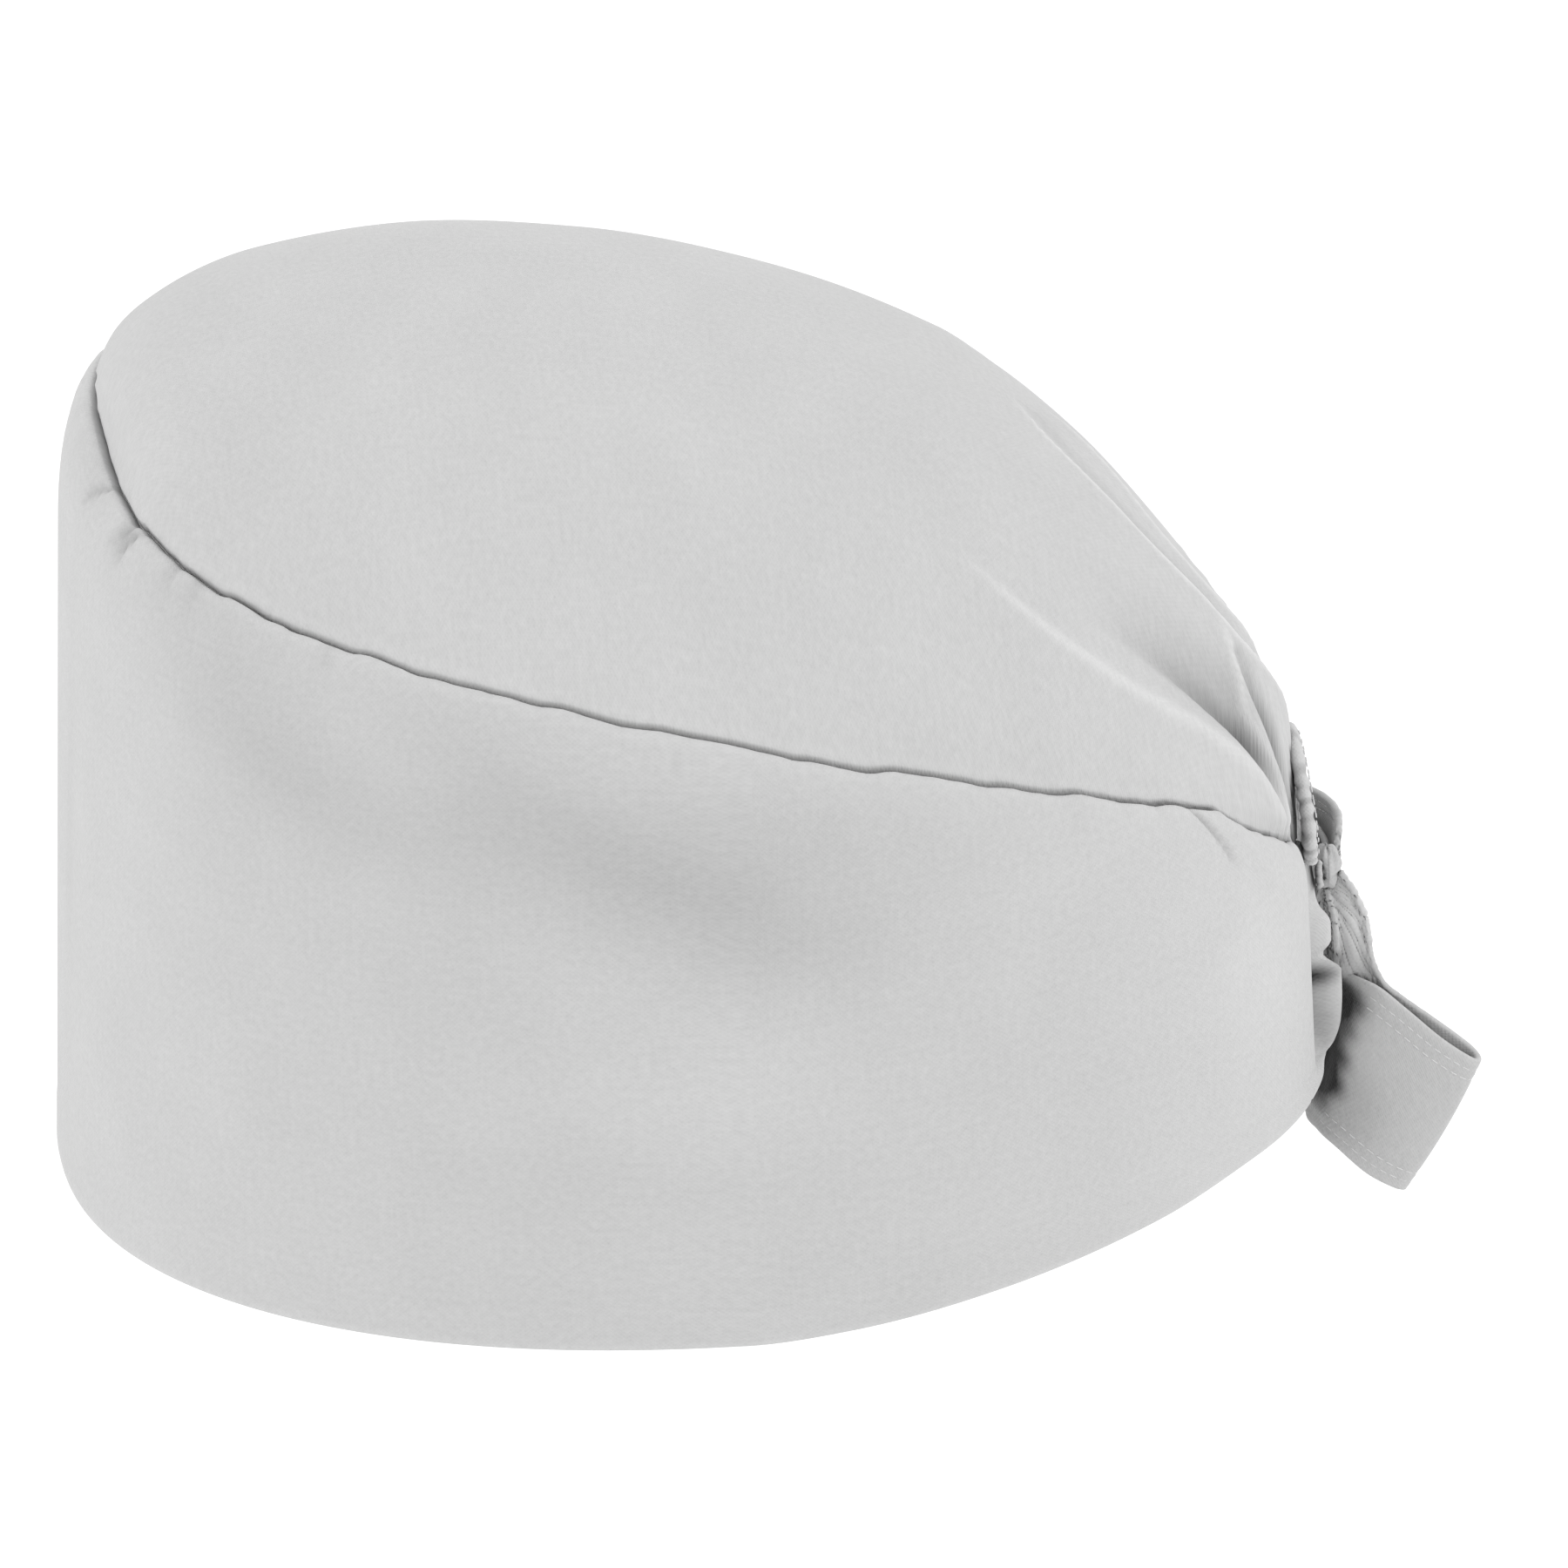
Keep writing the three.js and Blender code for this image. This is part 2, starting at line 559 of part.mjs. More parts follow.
function cutAway(geometry, cutters) {
  let body = asManifold(geometry);
  cutters.forEach((cutter) => {
    body = body.subtract(asManifold(cutter));
  });
  const parts = body.decompose().sort((a, b) => b.volume() - a.volume());
  return fromManifold(parts[0].simplify(TIDY));
}

// Ribbon sections are joined smoothly, with a bow across and pleats along them.
function ribbonGrid(rows, along, across, pleats) {
  const column = (edge, axis) => rows.map((row) => row[edge][axis]);
  const pull = (name) => rows.map((row) => row[name]);
  const tables = {
    a: [0, 1, 2].map((axis) => column("a", axis)),
    b: [0, 1, 2].map((axis) => column("b", axis)),
    bow: pull("bow"),
    pleat: pull("pleat"),
  };
  const edgeAt = (name, at) => vec(...[0, 1, 2].map((axis) => through(tables[name][axis], at)));
  const grid = [];
  for (let i = 0; i <= along; i += 1) {
    const at = i / along;
    const a = edgeAt("a", at);
    const b = edgeAt("b", at);
    const before = Math.max(0, at - 0.01);
    const after = Math.min(1, at + 0.01);
    const ahead = edgeAt("a", after).add(edgeAt("b", after));
    ahead.sub(edgeAt("a", before)).sub(edgeAt("b", before));
    const normal = ahead.cross(b.clone().sub(a)).normalize();
    const bow = through(tables.bow, at);
    const pleat = through(tables.pleat, at);
    const line = [];
    for (let j = 0; j <= across; j += 1) {
      const w = j / across;
      const wave = pleat * Math.sin(2 * Math.PI * pleats * w);
      line.push(a.clone().lerp(b, w).addScaledVector(normal, bow * 4 * w * (1 - w) + wave));
    }
    grid.push(line);
  }
  return grid;
}

const ribbon = (rows, along, across = 6, pleats = 1.5) => wall(
  ribbonGrid(rows, along, across, pleats),
  RIBBON,
  { middle: true },
);

// The knot is a rounded pad with a slanting crease where the ribbon wraps it.
function knotRings(grow) {
  const rings = [];
  const steps = 12;
  const around = 18;
  for (let i = 0; i <= steps; i += 1) {
    const lean = -Math.PI / 2 + (Math.PI * (i + 0.35)) / (steps + 0.7);
    const ring = [];
    for (let j = 0; j < around; j += 1) {
      const angle = (2 * Math.PI * j) / around;
      const slant = (Math.sin(lean) * 1.6 + 0.5 * Math.cos(angle)) / 0.35;
      const groove = grow > 0 ? 0 : KNOT.crease * bell(slant);
      const rib = grow > 0 ? 0 : 0.3 * Math.cos(3 * angle + 2 * lean);
      const [hx, hy, hz] = KNOT.half.map((half) => half + grow - groove + rib);
      const level = Math.cos(lean) ** 0.8;
      ring.push(vec(
        KNOT.x + hx * level * Math.cos(angle),
        KNOT.y + hy * level * Math.sin(angle),
        KNOT.z + hz * Math.sin(lean),
      ));
    }
    rings.push(ring);
  }
  return rings;
}

// The casing is a flat roll with a gather's ribs along it.
function casingRings(grow) {
  const steps = 44;
  const around = 8;
  const axes = ["x", "y", "z"];
  const place = (at) => vec(...axes.map((axis) => through(CASING_PATH.map((row) => row[axis]), at)));
  const rings = [];
  for (let i = 0; i <= steps; i += 1) {
    const at = i / steps;
    const middle = place(at);
    const ahead = place(Math.min(1, at + 0.01)).sub(place(Math.max(0, at - 0.01))).normalize();
    const back = vec(0, 1, 0.25).normalize();
    const across = ahead.clone().cross(back).normalize();
    const depth = across.clone().cross(ahead).normalize();
    const rib = CASING.rib * Math.cos(2 * Math.PI * CASING.ribs * at);
    const ring = [];
    for (let j = 0; j < around; j += 1) {
      const angle = (2 * Math.PI * j) / around;
      ring.push(middle.clone()
        .addScaledVector(across, (CASING.across + rib + grow) * power(Math.cos(angle), 0.85))
        .addScaledVector(depth, (CASING.thick + 0.7 * rib + grow) * power(Math.sin(angle), 0.85)));
    }
    rings.push(ring);
  }
  return rings;
}

// The turns of the columns, closer together at the back, where the cloth is
// gathered.
function turns() {
  const list = [];
  const half = COUNTS.around / 2;
  for (let i = -half; i <= half; i += 1) {
    const t = Math.abs(i) / half;
    const turn = t < 0.52 ? t * (138 / 0.52) : 138 + 42 * (1 - (1 - (t - 0.52) / 0.48) ** 1.5);
    list.push(Math.sign(i) * turn);
  }
  return list;
}

function bandGrid() {
  const list = turns();
  const grid = [];
  const columns = list.length - 1;
  for (let i = 0; i <= columns; i += 1) {
    const line = [];
    for (let j = 0; j <= COUNTS.up; j += 1) {
      const flat = j / COUNTS.up;
      const up = flat < 0.7 ? flat * (0.86 / 0.7) : 0.86 + (flat - 0.7) * (0.14 / 0.3);
      const share = list[i] / 180;
      const reach = read(BAND_END, "up", up, "turn");
      line.push(bandPoint(share * reach, up));
    }
    grid.push(line);
  }
  return grid;
}

const crownGrid = () => turns().slice(0, -1).map(crownRings);

const parts = new THREE.Group();
function add(name, geometry, color, roughness) {
  const material = new THREE.MeshStandardMaterial({ color, roughness, metalness: 0 });
  geometry.computeVertexNormals();
  const mesh = new THREE.Mesh(geometry, material);
  mesh.name = name;
  parts.add(mesh);
}

const COTTON = 0xd1d1d1;
const TIE_COTTON = 0xc6c6c6;

const crownBody = wall(crownGrid(), CLOTH, { ring: true, pole: true });
const bandBody = wall(bandGrid(), CLOTH);
const crownRoom = wall(crownGrid(), CLOTH, { ring: true, pole: true, lift: CLEAR });
const bandRoom = wall(bandGrid(), CLOTH, { lift: CLEAR });
const casingBody = cutAway(tube(casingRings(0)), [crownRoom, bandRoom]);
const casingRoom = tube(casingRings(CLEAR));
const knotBody = tube(knotRings(0));
const knotRoom = tube(knotRings(CLEAR));

add("side_band", bandBody, COTTON, 0.9);
add("crown", crownBody, COTTON, 0.9);
add("back_casing", casingBody, COTTON, 0.9);
add("tie_knot", knotBody, TIE_COTTON, 0.9);
const tieLeft = ribbon(TIE_LEFT, 8);
const tieRight = ribbon(TIE_LEFT.map((row) => ({
  ...row,
  a: [2 * KNOT.x - row.a[0] - 2, row.a[1], row.a[2]],
  b: [2 * KNOT.x - row.b[0] - 2, row.b[1], row.b[2]],
})), 8);
add("tie_left", cutAway(tieLeft, [knotRoom, casingRoom]), TIE_COTTON, 0.9);
add("tie_right", cutAway(tieRight, [knotRoom, casingRoom]), TIE_COTTON, 0.9);
add("bow_loop_left", cutAway(ribbon(LOOP_LEFT, 32), [knotRoom]), TIE_COTTON, 0.9);
add("bow_loop_right", cutAway(ribbon(LOOP_RIGHT, 26), [knotRoom]), TIE_COTTON, 0.9);
add("tie_tail_left", cutAway(ribbon(TAIL_LEFT, 10), [knotRoom]), TIE_COTTON, 0.9);
add("tie_tail_right", cutAway(ribbon(TAIL_RIGHT, 10), [knotRoom]), TIE_COTTON, 0.9);

export default parts;
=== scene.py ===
# %% [markdown]
# # A tie-back cloth cap
#
# The real cap is light grey plain-weave cotton: a deep band round the head, an
# oval crown sewn to it, a ruffled casing at the back and a flat ribbon tied in a
# bow. Each piece here is a mesh that we work out with numpy from short tables of
# sizes, because a cap's form is a few curves that run into each other. Modelling
# it by hand or by a cloth simulation would also work, but curves give the same
# cap on every run, and every size stays a named value that we can change.

# %% Load the frame
import math

import bmesh
import bpy
import numpy as np
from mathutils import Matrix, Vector
from mathutils.bvhtree import BVHTree


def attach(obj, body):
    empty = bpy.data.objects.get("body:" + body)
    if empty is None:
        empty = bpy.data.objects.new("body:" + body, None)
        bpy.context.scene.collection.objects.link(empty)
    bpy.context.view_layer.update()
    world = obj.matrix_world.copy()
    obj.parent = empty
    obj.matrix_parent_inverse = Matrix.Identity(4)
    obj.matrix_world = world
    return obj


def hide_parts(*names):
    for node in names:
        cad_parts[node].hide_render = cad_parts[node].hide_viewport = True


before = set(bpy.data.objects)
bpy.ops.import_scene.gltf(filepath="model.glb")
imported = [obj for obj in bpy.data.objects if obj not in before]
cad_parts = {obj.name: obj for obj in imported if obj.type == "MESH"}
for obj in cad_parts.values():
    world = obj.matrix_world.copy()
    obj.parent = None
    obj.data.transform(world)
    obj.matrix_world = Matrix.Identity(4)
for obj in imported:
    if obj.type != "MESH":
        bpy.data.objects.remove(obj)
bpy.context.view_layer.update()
MM = 0.001
print("pieces in the frame:", ", ".join(sorted(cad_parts)))

# %% [markdown]
# ## Reading a table
#
# A table gives a curve a few rows, and `read` gives the smooth value between
# them. A spline can swing past its rows, which would put ripples in the cloth,
# so this one is monotone: it never rises where its rows fall.


# %% Smooth values between the rows of a table
def read(rows, by, column, at):
    place = np.array([row[by] for row in rows], float)
    value = np.array([row[column] for row in rows], float)
    step = np.diff(place)
    rise = np.diff(value) / step
    slope = np.zeros(len(place))
    both = rise[:-1] * rise[1:]
    total = np.where(both > 0, rise[:-1] + rise[1:], 1.0)
    slope[1:-1] = np.where(both > 0, 2 * both / total, 0.0)
    slope[0], slope[-1] = rise[0], rise[-1]
    at = np.asarray(at, float)
    i = np.clip(np.searchsorted(place, at, side="right") - 1, 0, len(place) - 2)
    t = np.clip((at - place[i]) / step[i], 0, 1)
    start = (2 * t**3 - 3 * t**2 + 1) * value[i] + (t**3 - 2 * t**2 + t) * step[i] * slope[i]
    end = (3 * t**2 - 2 * t**3) * value[i + 1] + (t**3 - t**2) * step[i] * slope[i + 1]
    return start + end


def table(columns, *rows):
    names = columns.split()
    return [dict(zip(names, row)) for row in rows]


def through(values, at):
    """A Catmull-Rom curve through rows of numbers, at places from 0 to 1."""
    values = np.asarray(values, float)
    if values.ndim == 1:
        values = values[:, None]
    ends = np.concatenate([2 * values[:1] - values[1:2], values, 2 * values[-1:] - values[-2:-1]])
    spans = len(values) - 1
    place = np.clip(at, 0, 1) * spans
    i = np.minimum(place.astype(int), spans - 1)
    t = (place - i)[:, None]
    p0, p1, p2, p3 = ends[i], ends[i + 1], ends[i + 2], ends[i + 3]
    curve = 2 * p1 + (p2 - p0) * t + (2 * p0 - 5 * p1 + 4 * p2 - p3) * t**2
    return 0.5 * (curve + (3 * p1 - p0 - 3 * p2 + p3) * t**3)


def bell(t):
    return np.exp(-np.square(t))


def mix(a, b, t):
    return a + (b - a) * t


def ease(t):
    t = np.clip(t, 0, 1)
    return t * t * (3 - 2 * t)


print("half way between rows 0 and 1:", read(table("x y", (0, 0), (1, 1), (2, 4)), "x", "y", 0.5))

# %% [markdown]
# ## The stage, the light and the camera
#
# The cap is shown as it is worn, so it hangs over the floor with nothing under
# it. A pale floor and an even, soft light keep the cloth light and flat, and two
# large lamps, one before the cap and one behind it, give the folds a bright and a
# dark side. The camera draws without perspective, because the picture of the cap
# has almost none.

# %% Make the floor
FLOOR_DROP = 0.9
FLOOR_SIZE = 14.0
PAPER = {"grey": 0.95, "roughness": 0.95, "glow": 0.02}


def pale_paper():
    material = bpy.data.materials.new("pale_paper")
    material.use_nodes = True
    surface = material.node_tree.nodes["Principled BSDF"]
    surface.inputs["Base Color"].default_value = (*[PAPER["grey"]] * 3, 1)
    surface.inputs["Roughness"].default_value = PAPER["roughness"]
    surface.inputs["Emission Color"].default_value = (1, 1, 1, 1)
    surface.inputs["Emission Strength"].default_value = PAPER["glow"]
    return material


bpy.ops.mesh.primitive_plane_add(size=FLOOR_SIZE, location=(0, 0, -FLOOR_DROP))
floor = bpy.context.object
floor.name = "floor"
floor.data.materials.append(pale_paper())
print("floor below the rim, in metres:", FLOOR_DROP)

# %% Light it softly
SKY_STRENGTH = 1.12
world = bpy.data.worlds.new("even_sky")
bpy.context.scene.world = world
world.use_nodes = True
world.node_tree.nodes["Background"].inputs["Color"].default_value = (1, 1, 1, 1)
world.node_tree.nodes["Background"].inputs["Strength"].default_value = SKY_STRENGTH

LAMP_AIM = Vector((0, 0, 0.08))
LAMPS = table(
    "name place size power",
    ("front_lamp", (0.6, -2.3, 1.4), 1.2, 14.0),
    ("back_lamp", (0.7, 2.3, 1.4), 1.2, 16.0),
)
for lamp in LAMPS:
    light = bpy.data.lights.new(lamp["name"], "AREA")
    light.shape = "DISK"
    light.size = lamp["size"]
    light.energy = lamp["power"]
    holder = bpy.data.objects.new(lamp["name"], light)
    bpy.context.scene.collection.objects.link(holder)
    holder.location = lamp["place"]
    aim = LAMP_AIM - Vector(lamp["place"])
    holder.rotation_euler = aim.to_track_quat("-Z", "Y").to_euler()
bpy.context.scene.view_settings.view_transform = "Standard"
print("lamps:", [lamp["name"] for lamp in LAMPS])

# %% Set the camera
AZIMUTH, ELEVATION = math.radians(83.0), math.radians(26.7)
AIM = Vector((-26.1, 21.3, 56.6)) * MM
PICTURE_WIDTH = 0.288
CAMERA_FAR = 2.5
CAMERA_CLIP = (0.1, 60.0)
back = Vector((
    math.sin(AZIMUTH) * math.cos(ELEVATION),
    -math.cos(AZIMUTH) * math.cos(ELEVATION),
    math.sin(ELEVATION),
))
camera = bpy.data.objects.new("camera", bpy.data.cameras.new("camera"))
bpy.context.scene.collection.objects.link(camera)
camera.data.type = "ORTHO"
camera.data.ortho_scale = PICTURE_WIDTH
camera.data.clip_start, camera.data.clip_end = CAMERA_CLIP
camera.location = AIM + back * CAMERA_FAR
camera.rotation_euler = (-back).to_track_quat("-Z", "Y").to_euler()
bpy.context.scene.camera = camera
print("picture width:", PICTURE_WIDTH, "m")

# %% [markdown]
# ## Writing a material as arithmetic
#
# A node tree for cloth is mostly sums and products, and those are easier to read
# as Python. `Wire` stands for one socket, and its operators add Math nodes. All
# other nodes come from `Paint.node`, which takes the node's type, its settings
# and its sockets.


# %% Sockets with operators
class Wire:
    def __init__(self, paint, socket):
        self.paint, self.socket = paint, socket

    def do(self, how, *others):
        values = dict(enumerate((self, *others)))
        return self.paint.node("ShaderNodeMath", {"operation": how}, values)

    def __add__(self, other):
        return self.do("ADD", other)

    def __sub__(self, other):
        return self.do("SUBTRACT", other)

    def __rsub__(self, other):
        return (self - other) * -1

    def __mul__(self, other):
        return self.do("MULTIPLY", other)

    __radd__ = __add__
    __rmul__ = __mul__


class Paint:
    def __init__(self, name):
        self.material = bpy.data.materials.new(name)
        self.material.use_nodes = True
        self.tree = self.material.node_tree
        self.surface = self.tree.nodes["Principled BSDF"]

    def node(self, kind, settings=None, sockets=None, out=0):
        made = self.tree.nodes.new(kind)
        for name, value in (settings or {}).items():
            setattr(made, name, value)
        for name, value in (sockets or {}).items():
            self.link(made.inputs[name], value)
        return Wire(self, made.outputs[out])

    def link(self, socket, value):
        if isinstance(value, Wire):
            self.tree.links.new(value.socket, socket)
        else:
            socket.default_value = value


print("operators:", [name for name in vars(Wire) if name.startswith("__r")])

# %% [markdown]
# ## Cotton
#
# The cloth is a fine plain weave. Warp and weft cross every 0.42 mm, some
# threads are thicker than others, and the grey is a little uneven. The mesh
# stores where each point lies on the flat cloth, in millimetres, as `cloth_way`,
# so the threads follow the cloth round every bend. `cloth_edge` is painted light
# and shade: above 0 it paints a highlight along hems, creases and a line beside
# the seam, and below 0 it paints shade into seams, valleys and recesses, and onto
# patches of the band. `cloth_deep` rises to 1 inside tight folds, where little
# light gets in, and paints that shade into the colour.

# %% Make the cotton
THREAD = 0.42
WEAVE_DEPTH = 0.00005
DEEP_SHADE = 0.9
EDGE_SHADE = 0.06
DARKEST = 0.01
FINE_TONE, CLOUDY_TONE, WEAVE_TONE = 0.24, 0.12, 0.02
DRIFT = 1.6
# What weave, single threads and fine slubs add to the bump, as shares of WEAVE_DEPTH.
WEAVE_BUMP, THREAD_BUMP, FINE_BUMP = 0.5, 0.9, 2.4
COTTON_ROUGH = {"middle": 0.86, "spread": 0.14}
COTTON_FINISH = {"Specular IOR Level": 0.25, "Sheen Weight": 0.12, "Sheen Roughness": 0.5}
CAP_GREY, TIE_GREY, TIE_STREAK = 0.485, 0.44, 0.07
# How often each kind of noise changes in a millimetre, across the cloth and along it.
NOISES = table(
    "name across along detail",
    ("drift", 0.35, 0.35, 2.0), ("warp", 2.2, 0.06, 2.0), ("weft", 0.06, 2.2, 2.0),
    ("fine", 0.75, 0.75, 4.0), ("cloudy", 0.035, 0.035, 3.0),
)


def cotton(name, grey, streak=0.05):
    paint = Paint(name)
    way = paint.node("ShaderNodeAttribute", {"attribute_name": "cloth_way"}, out="Vector")
    edge = paint.node("ShaderNodeAttribute", {"attribute_name": "cloth_edge"}, out="Fac")
    deep = paint.node("ShaderNodeAttribute", {"attribute_name": "cloth_deep"}, out="Fac")
    apart = paint.node("ShaderNodeSeparateXYZ", sockets={"Vector": way})
    across = Wire(paint, apart.socket.node.outputs["X"])
    along = Wire(paint, apart.socket.node.outputs["Y"])

    def noise(row):
        flat = {"X": across * row["across"], "Y": along * row["along"]}
        spot = paint.node("ShaderNodeCombineXYZ", sockets=flat)
        sockets = {"Vector": spot, "Scale": 1.0, "Detail": row["detail"], "Roughness": 0.6}
        return paint.node("ShaderNodeTexNoise", sockets=sockets, out="Fac")

    drift, warp, weft, fine, cloudy = [noise(row) for row in NOISES]
    crossing = math.pi / THREAD
    drift = drift * DRIFT
    weave = (across * crossing + drift).do("SINE") * (along * crossing + drift).do("SINE")
    tone = (warp + weft - 1.0) * streak + (fine - 0.5) * FINE_TONE + (cloudy - 0.5) * CLOUDY_TONE
    # Painted highlight and shade from cloth_edge, then painted shade from cloth_deep.
    level = grey * (tone + 1.0 + weave * WEAVE_TONE) + edge * (EDGE_SHADE * grey)
    level = (level * (1.0 - deep * DEEP_SHADE)).do("MAXIMUM", DARKEST)
    colour = paint.node("ShaderNodeCombineColor", sockets={"Red": level, "Green": level, "Blue": level})
    paint.link(paint.surface.inputs["Base Color"], colour)
    rough = COTTON_ROUGH["middle"] + (fine - 0.5) * COTTON_ROUGH["spread"]
    paint.link(paint.surface.inputs["Roughness"], rough)
    height = weave * WEAVE_BUMP + (warp + weft - 1.0) * THREAD_BUMP + (fine - 0.5) * FINE_BUMP
    bump = paint.node(
        "ShaderNodeBump",
        sockets={"Height": height, "Distance": WEAVE_DEPTH, "Strength": 1.0},
    )
    paint.link(paint.surface.inputs["Normal"], bump)
    for part, value in COTTON_FINISH.items():
        paint.link(paint.surface.inputs[part], value)
    return paint.material


cap_cotton = cotton("cap_cotton", CAP_GREY)
tie_cotton = cotton("tie_cotton", TIE_GREY, TIE_STREAK)
print("materials:", cap_cotton.name, tie_cotton.name)


# %% Stitching thread
SEWING = {"grey": 0.6, "tone": 0.12, "rough": 0.6, "rough_spread": 0.2}
FUZZ = {"scale": 4000.0, "depth": 0.00004, "strength": 0.5}


def thread_material():
    paint = Paint("sewing_thread")
    place = paint.node("ShaderNodeTexCoord", out="Object")
    fuzz = paint.node("ShaderNodeTexNoise", sockets={"Vector": place, "Scale": FUZZ["scale"]}, out="Fac")
    level = SEWING["grey"] + (fuzz - 0.5) * SEWING["tone"]
    colour = paint.node("ShaderNodeCombineColor", sockets={"Red": level, "Green": level, "Blue": level})
    paint.link(paint.surface.inputs["Base Color"], colour)
    rough = SEWING["rough"] + (fuzz - 0.5) * SEWING["rough_spread"]
    paint.link(paint.surface.inputs["Roughness"], rough)
    sockets = {"Height": fuzz, "Distance": FUZZ["depth"], "Strength": FUZZ["strength"]}
    bump = paint.node("ShaderNodeBump", sockets=sockets)
    paint.link(paint.surface.inputs["Normal"], bump)
    return paint.material


thread = thread_material()
print("material:", thread.name)

# %% [markdown]
# ## Cloth from a grid
#
# Every cloth piece starts as a grid of points on its outer face. Blender's
# Solidify modifier could thicken it, but we add the inner face ourselves, so
# that the cut edges are rounded and the thickness can change at a hem.

# %% Make a closed cloth wall
EDGE_BULGE = 0.32


def grid_normals(grid, ring):
    if ring:
        along = np.roll(grid, -1, 0) - np.roll(grid, 1, 0)
    else:
        along = np.gradient(grid, axis=0)
    across = np.gradient(grid, axis=1)
    normal = np.cross(across, along) if ring else np.cross(along, across)
    size = np.linalg.norm(normal, axis=2, keepdims=True)
    return normal / np.maximum(size, 1e-12)


def finish_mesh(name, points, faces, way, edge, material):
    mesh = bpy.data.meshes.new(name)
    mesh.from_pydata((points * MM).tolist(), [], faces)
    flat = np.zeros((len(points), 3), np.float32)
    flat[:, :2] = way
    mesh.attributes.new("cloth_way", "FLOAT_VECTOR", "POINT").data.foreach_set("vector", flat.ravel())
    mesh.attributes.new("cloth_edge", "FLOAT", "POINT").data.foreach_set("value", edge.astype(np.float32))
    mesh.polygons.foreach_set("use_smooth", [True] * len(mesh.polygons))
    mesh.materials.append(material)
    body = bmesh.new()
    body.from_mesh(mesh)
    bmesh.ops.recalc_face_normals(body, faces=body.faces)
    # A closed piece with its faces inside out has a volume below 0.
    if body.calc_volume(signed=True) < 0:
        bmesh.ops.reverse_faces(body, faces=body.faces)
    body.to_mesh(mesh)
    body.free()
    piece = bpy.data.objects.new(name, mesh)
    bpy.context.scene.collection.objects.link(piece)
    return piece


def cloth(name, grid, way, edge, thick, material, ring=False, pole=False, middle=False):
    """A closed wall from its outer face, grid[column, row]; pole joins row 0 in one point."""
    columns, rows = grid.shape[:2]
    normal = grid_normals(grid, ring)
    if pole:
        top = normal[:, 1].sum(0)
        normal[:, 0] = top / np.linalg.norm(top)
    thick = np.broadcast_to(thick, grid.shape[:2])[..., None]
    outer = grid + normal * thick / 2 if middle else grid
    inner = outer - normal * thick
    ways = way.reshape(-1, 2)
    edges = edge.reshape(-1)
    points = [outer.reshape(-1, 3), inner.reshape(-1, 3)]
    extra_way, extra_edge = [ways, ways], [edges, edges]
    number = np.arange(columns * rows).reshape(columns, rows)
    if pole:
        number[:, 0] = number[0, 0]
    shift = columns * rows
    after = np.roll(number, -1, 0) if ring else number[1:]
    here = number if ring else number[:-1]
    a, b, c, d = here[:, :-1], after[:, :-1], after[:, 1:], here[:, 1:]
    quads = np.stack([a, b, c, d], -1).reshape(-1, 4)
    faces = quads.tolist() + (quads[:, ::-1] + shift).tolist()
    count = 2 * shift

    def close(line, out, turned, looped):
        nonlocal count
        mid = (points[0][line] + points[1][line]) / 2 + out * thick.reshape(-1, 1)[line] * EDGE_BULGE
        points.append(mid)
        extra_way.append(ways[line])
        extra_edge.append(edges[line])
        name_mid = np.arange(len(line)) + count
        count += len(line)
        pairs = len(line) if looped else len(line) - 1
        for i in range(pairs):
            j = (i + 1) % len(line)
            strips = (
                [line[i], name_mid[i], name_mid[j], line[j]],
                [name_mid[i], line[i] + shift, line[j] + shift, name_mid[j]],
            )
            for strip in strips:
                faces.append([int(k) for k in (strip[::-1] if turned else strip)])
        return name_mid

    def away(toward, fromward):
        out = toward - fromward
        return out / np.maximum(np.linalg.norm(out, axis=-1, keepdims=True), 1e-9)

    last = close(number[:, -1], away(grid[:, -1], grid[:, -2]), False, ring)
    if not pole:
        first = close(number[:, 0], away(grid[:, 0], grid[:, 1]), True, ring)
    if not ring:
        left = close(number[0], away(grid[0], grid[1]), False, False)
        right = close(number[-1], away(grid[-1], grid[-2]), True, False)
        corners = (
            (number[0, -1], last[0], left[-1], False),
            (number[-1, -1], last[-1], right[-1], True),
            (number[0, 0], first[0], left[0], True),
            (number[-1, 0], first[-1], right[0], False),
        )
        for corner, one, other, turned in corners:
            fan = ([corner, other, one], [corner + shift, one, other])
            for strip in fan:
                faces.append([int(k) for k in (strip[::-1] if turned else strip)])
    if pole:
        faces = [[k for i, k in enumerate(face) if face.index(k) == i] for face in faces]
    return finish_mesh(
        name,
        np.concatenate(points),
        faces,
        np.concatenate(extra_way),
        np.concatenate(extra_edge),
        material,
    )


print("a cut edge stands proud by", EDGE_BULGE, "of the cloth's thickness")

# %% [markdown]
# ## The cap's two ovals
#
# The rim and the seam between band and crown are both ovals, rounder at the back
# than at the forehead. `turn` goes round them: 0 at the forehead, 90 at the
# wearer's left ear, 180 at the back and minus on the wearer's right. All sizes
# are in millimetres.

# %% The rim and the seam
CLOTH = 1.2
RIM = {"half": 89.4, "front": 115.5, "back": 117.6, "square_front": 2.24, "square_back": 2.0, "middle": 0.6}
SEAM = {"half": 84.4, "front": 107.8, "back": 112.4, "square_front": 2.64, "square_back": 1.85, "middle": 0.6}
RIM_LINE = table(
    "y z",
    (-116, 0), (0, 0), (20, 1.4), (50, 5.2), (80, 9.6), (100, 12.2), (113, 12.0), (118, 11.4),
)
SEAM_LINE = table(
    "y z",
    (-107.8, 146.7), (-95, 143.9), (-80, 140.7), (-60, 136.3), (-40, 131.3), (-15, 124.9),
    (0, 120.6), (16, 115.6), (33, 110.6), (47, 105.3), (60, 99.9), (73, 93.6), (88, 85.2),
    (94, 79.6), (100, 72.8), (107.5, 63), (112.4, 55),
)


def power(value, exponent):
    return np.sign(value) * np.abs(value) ** exponent


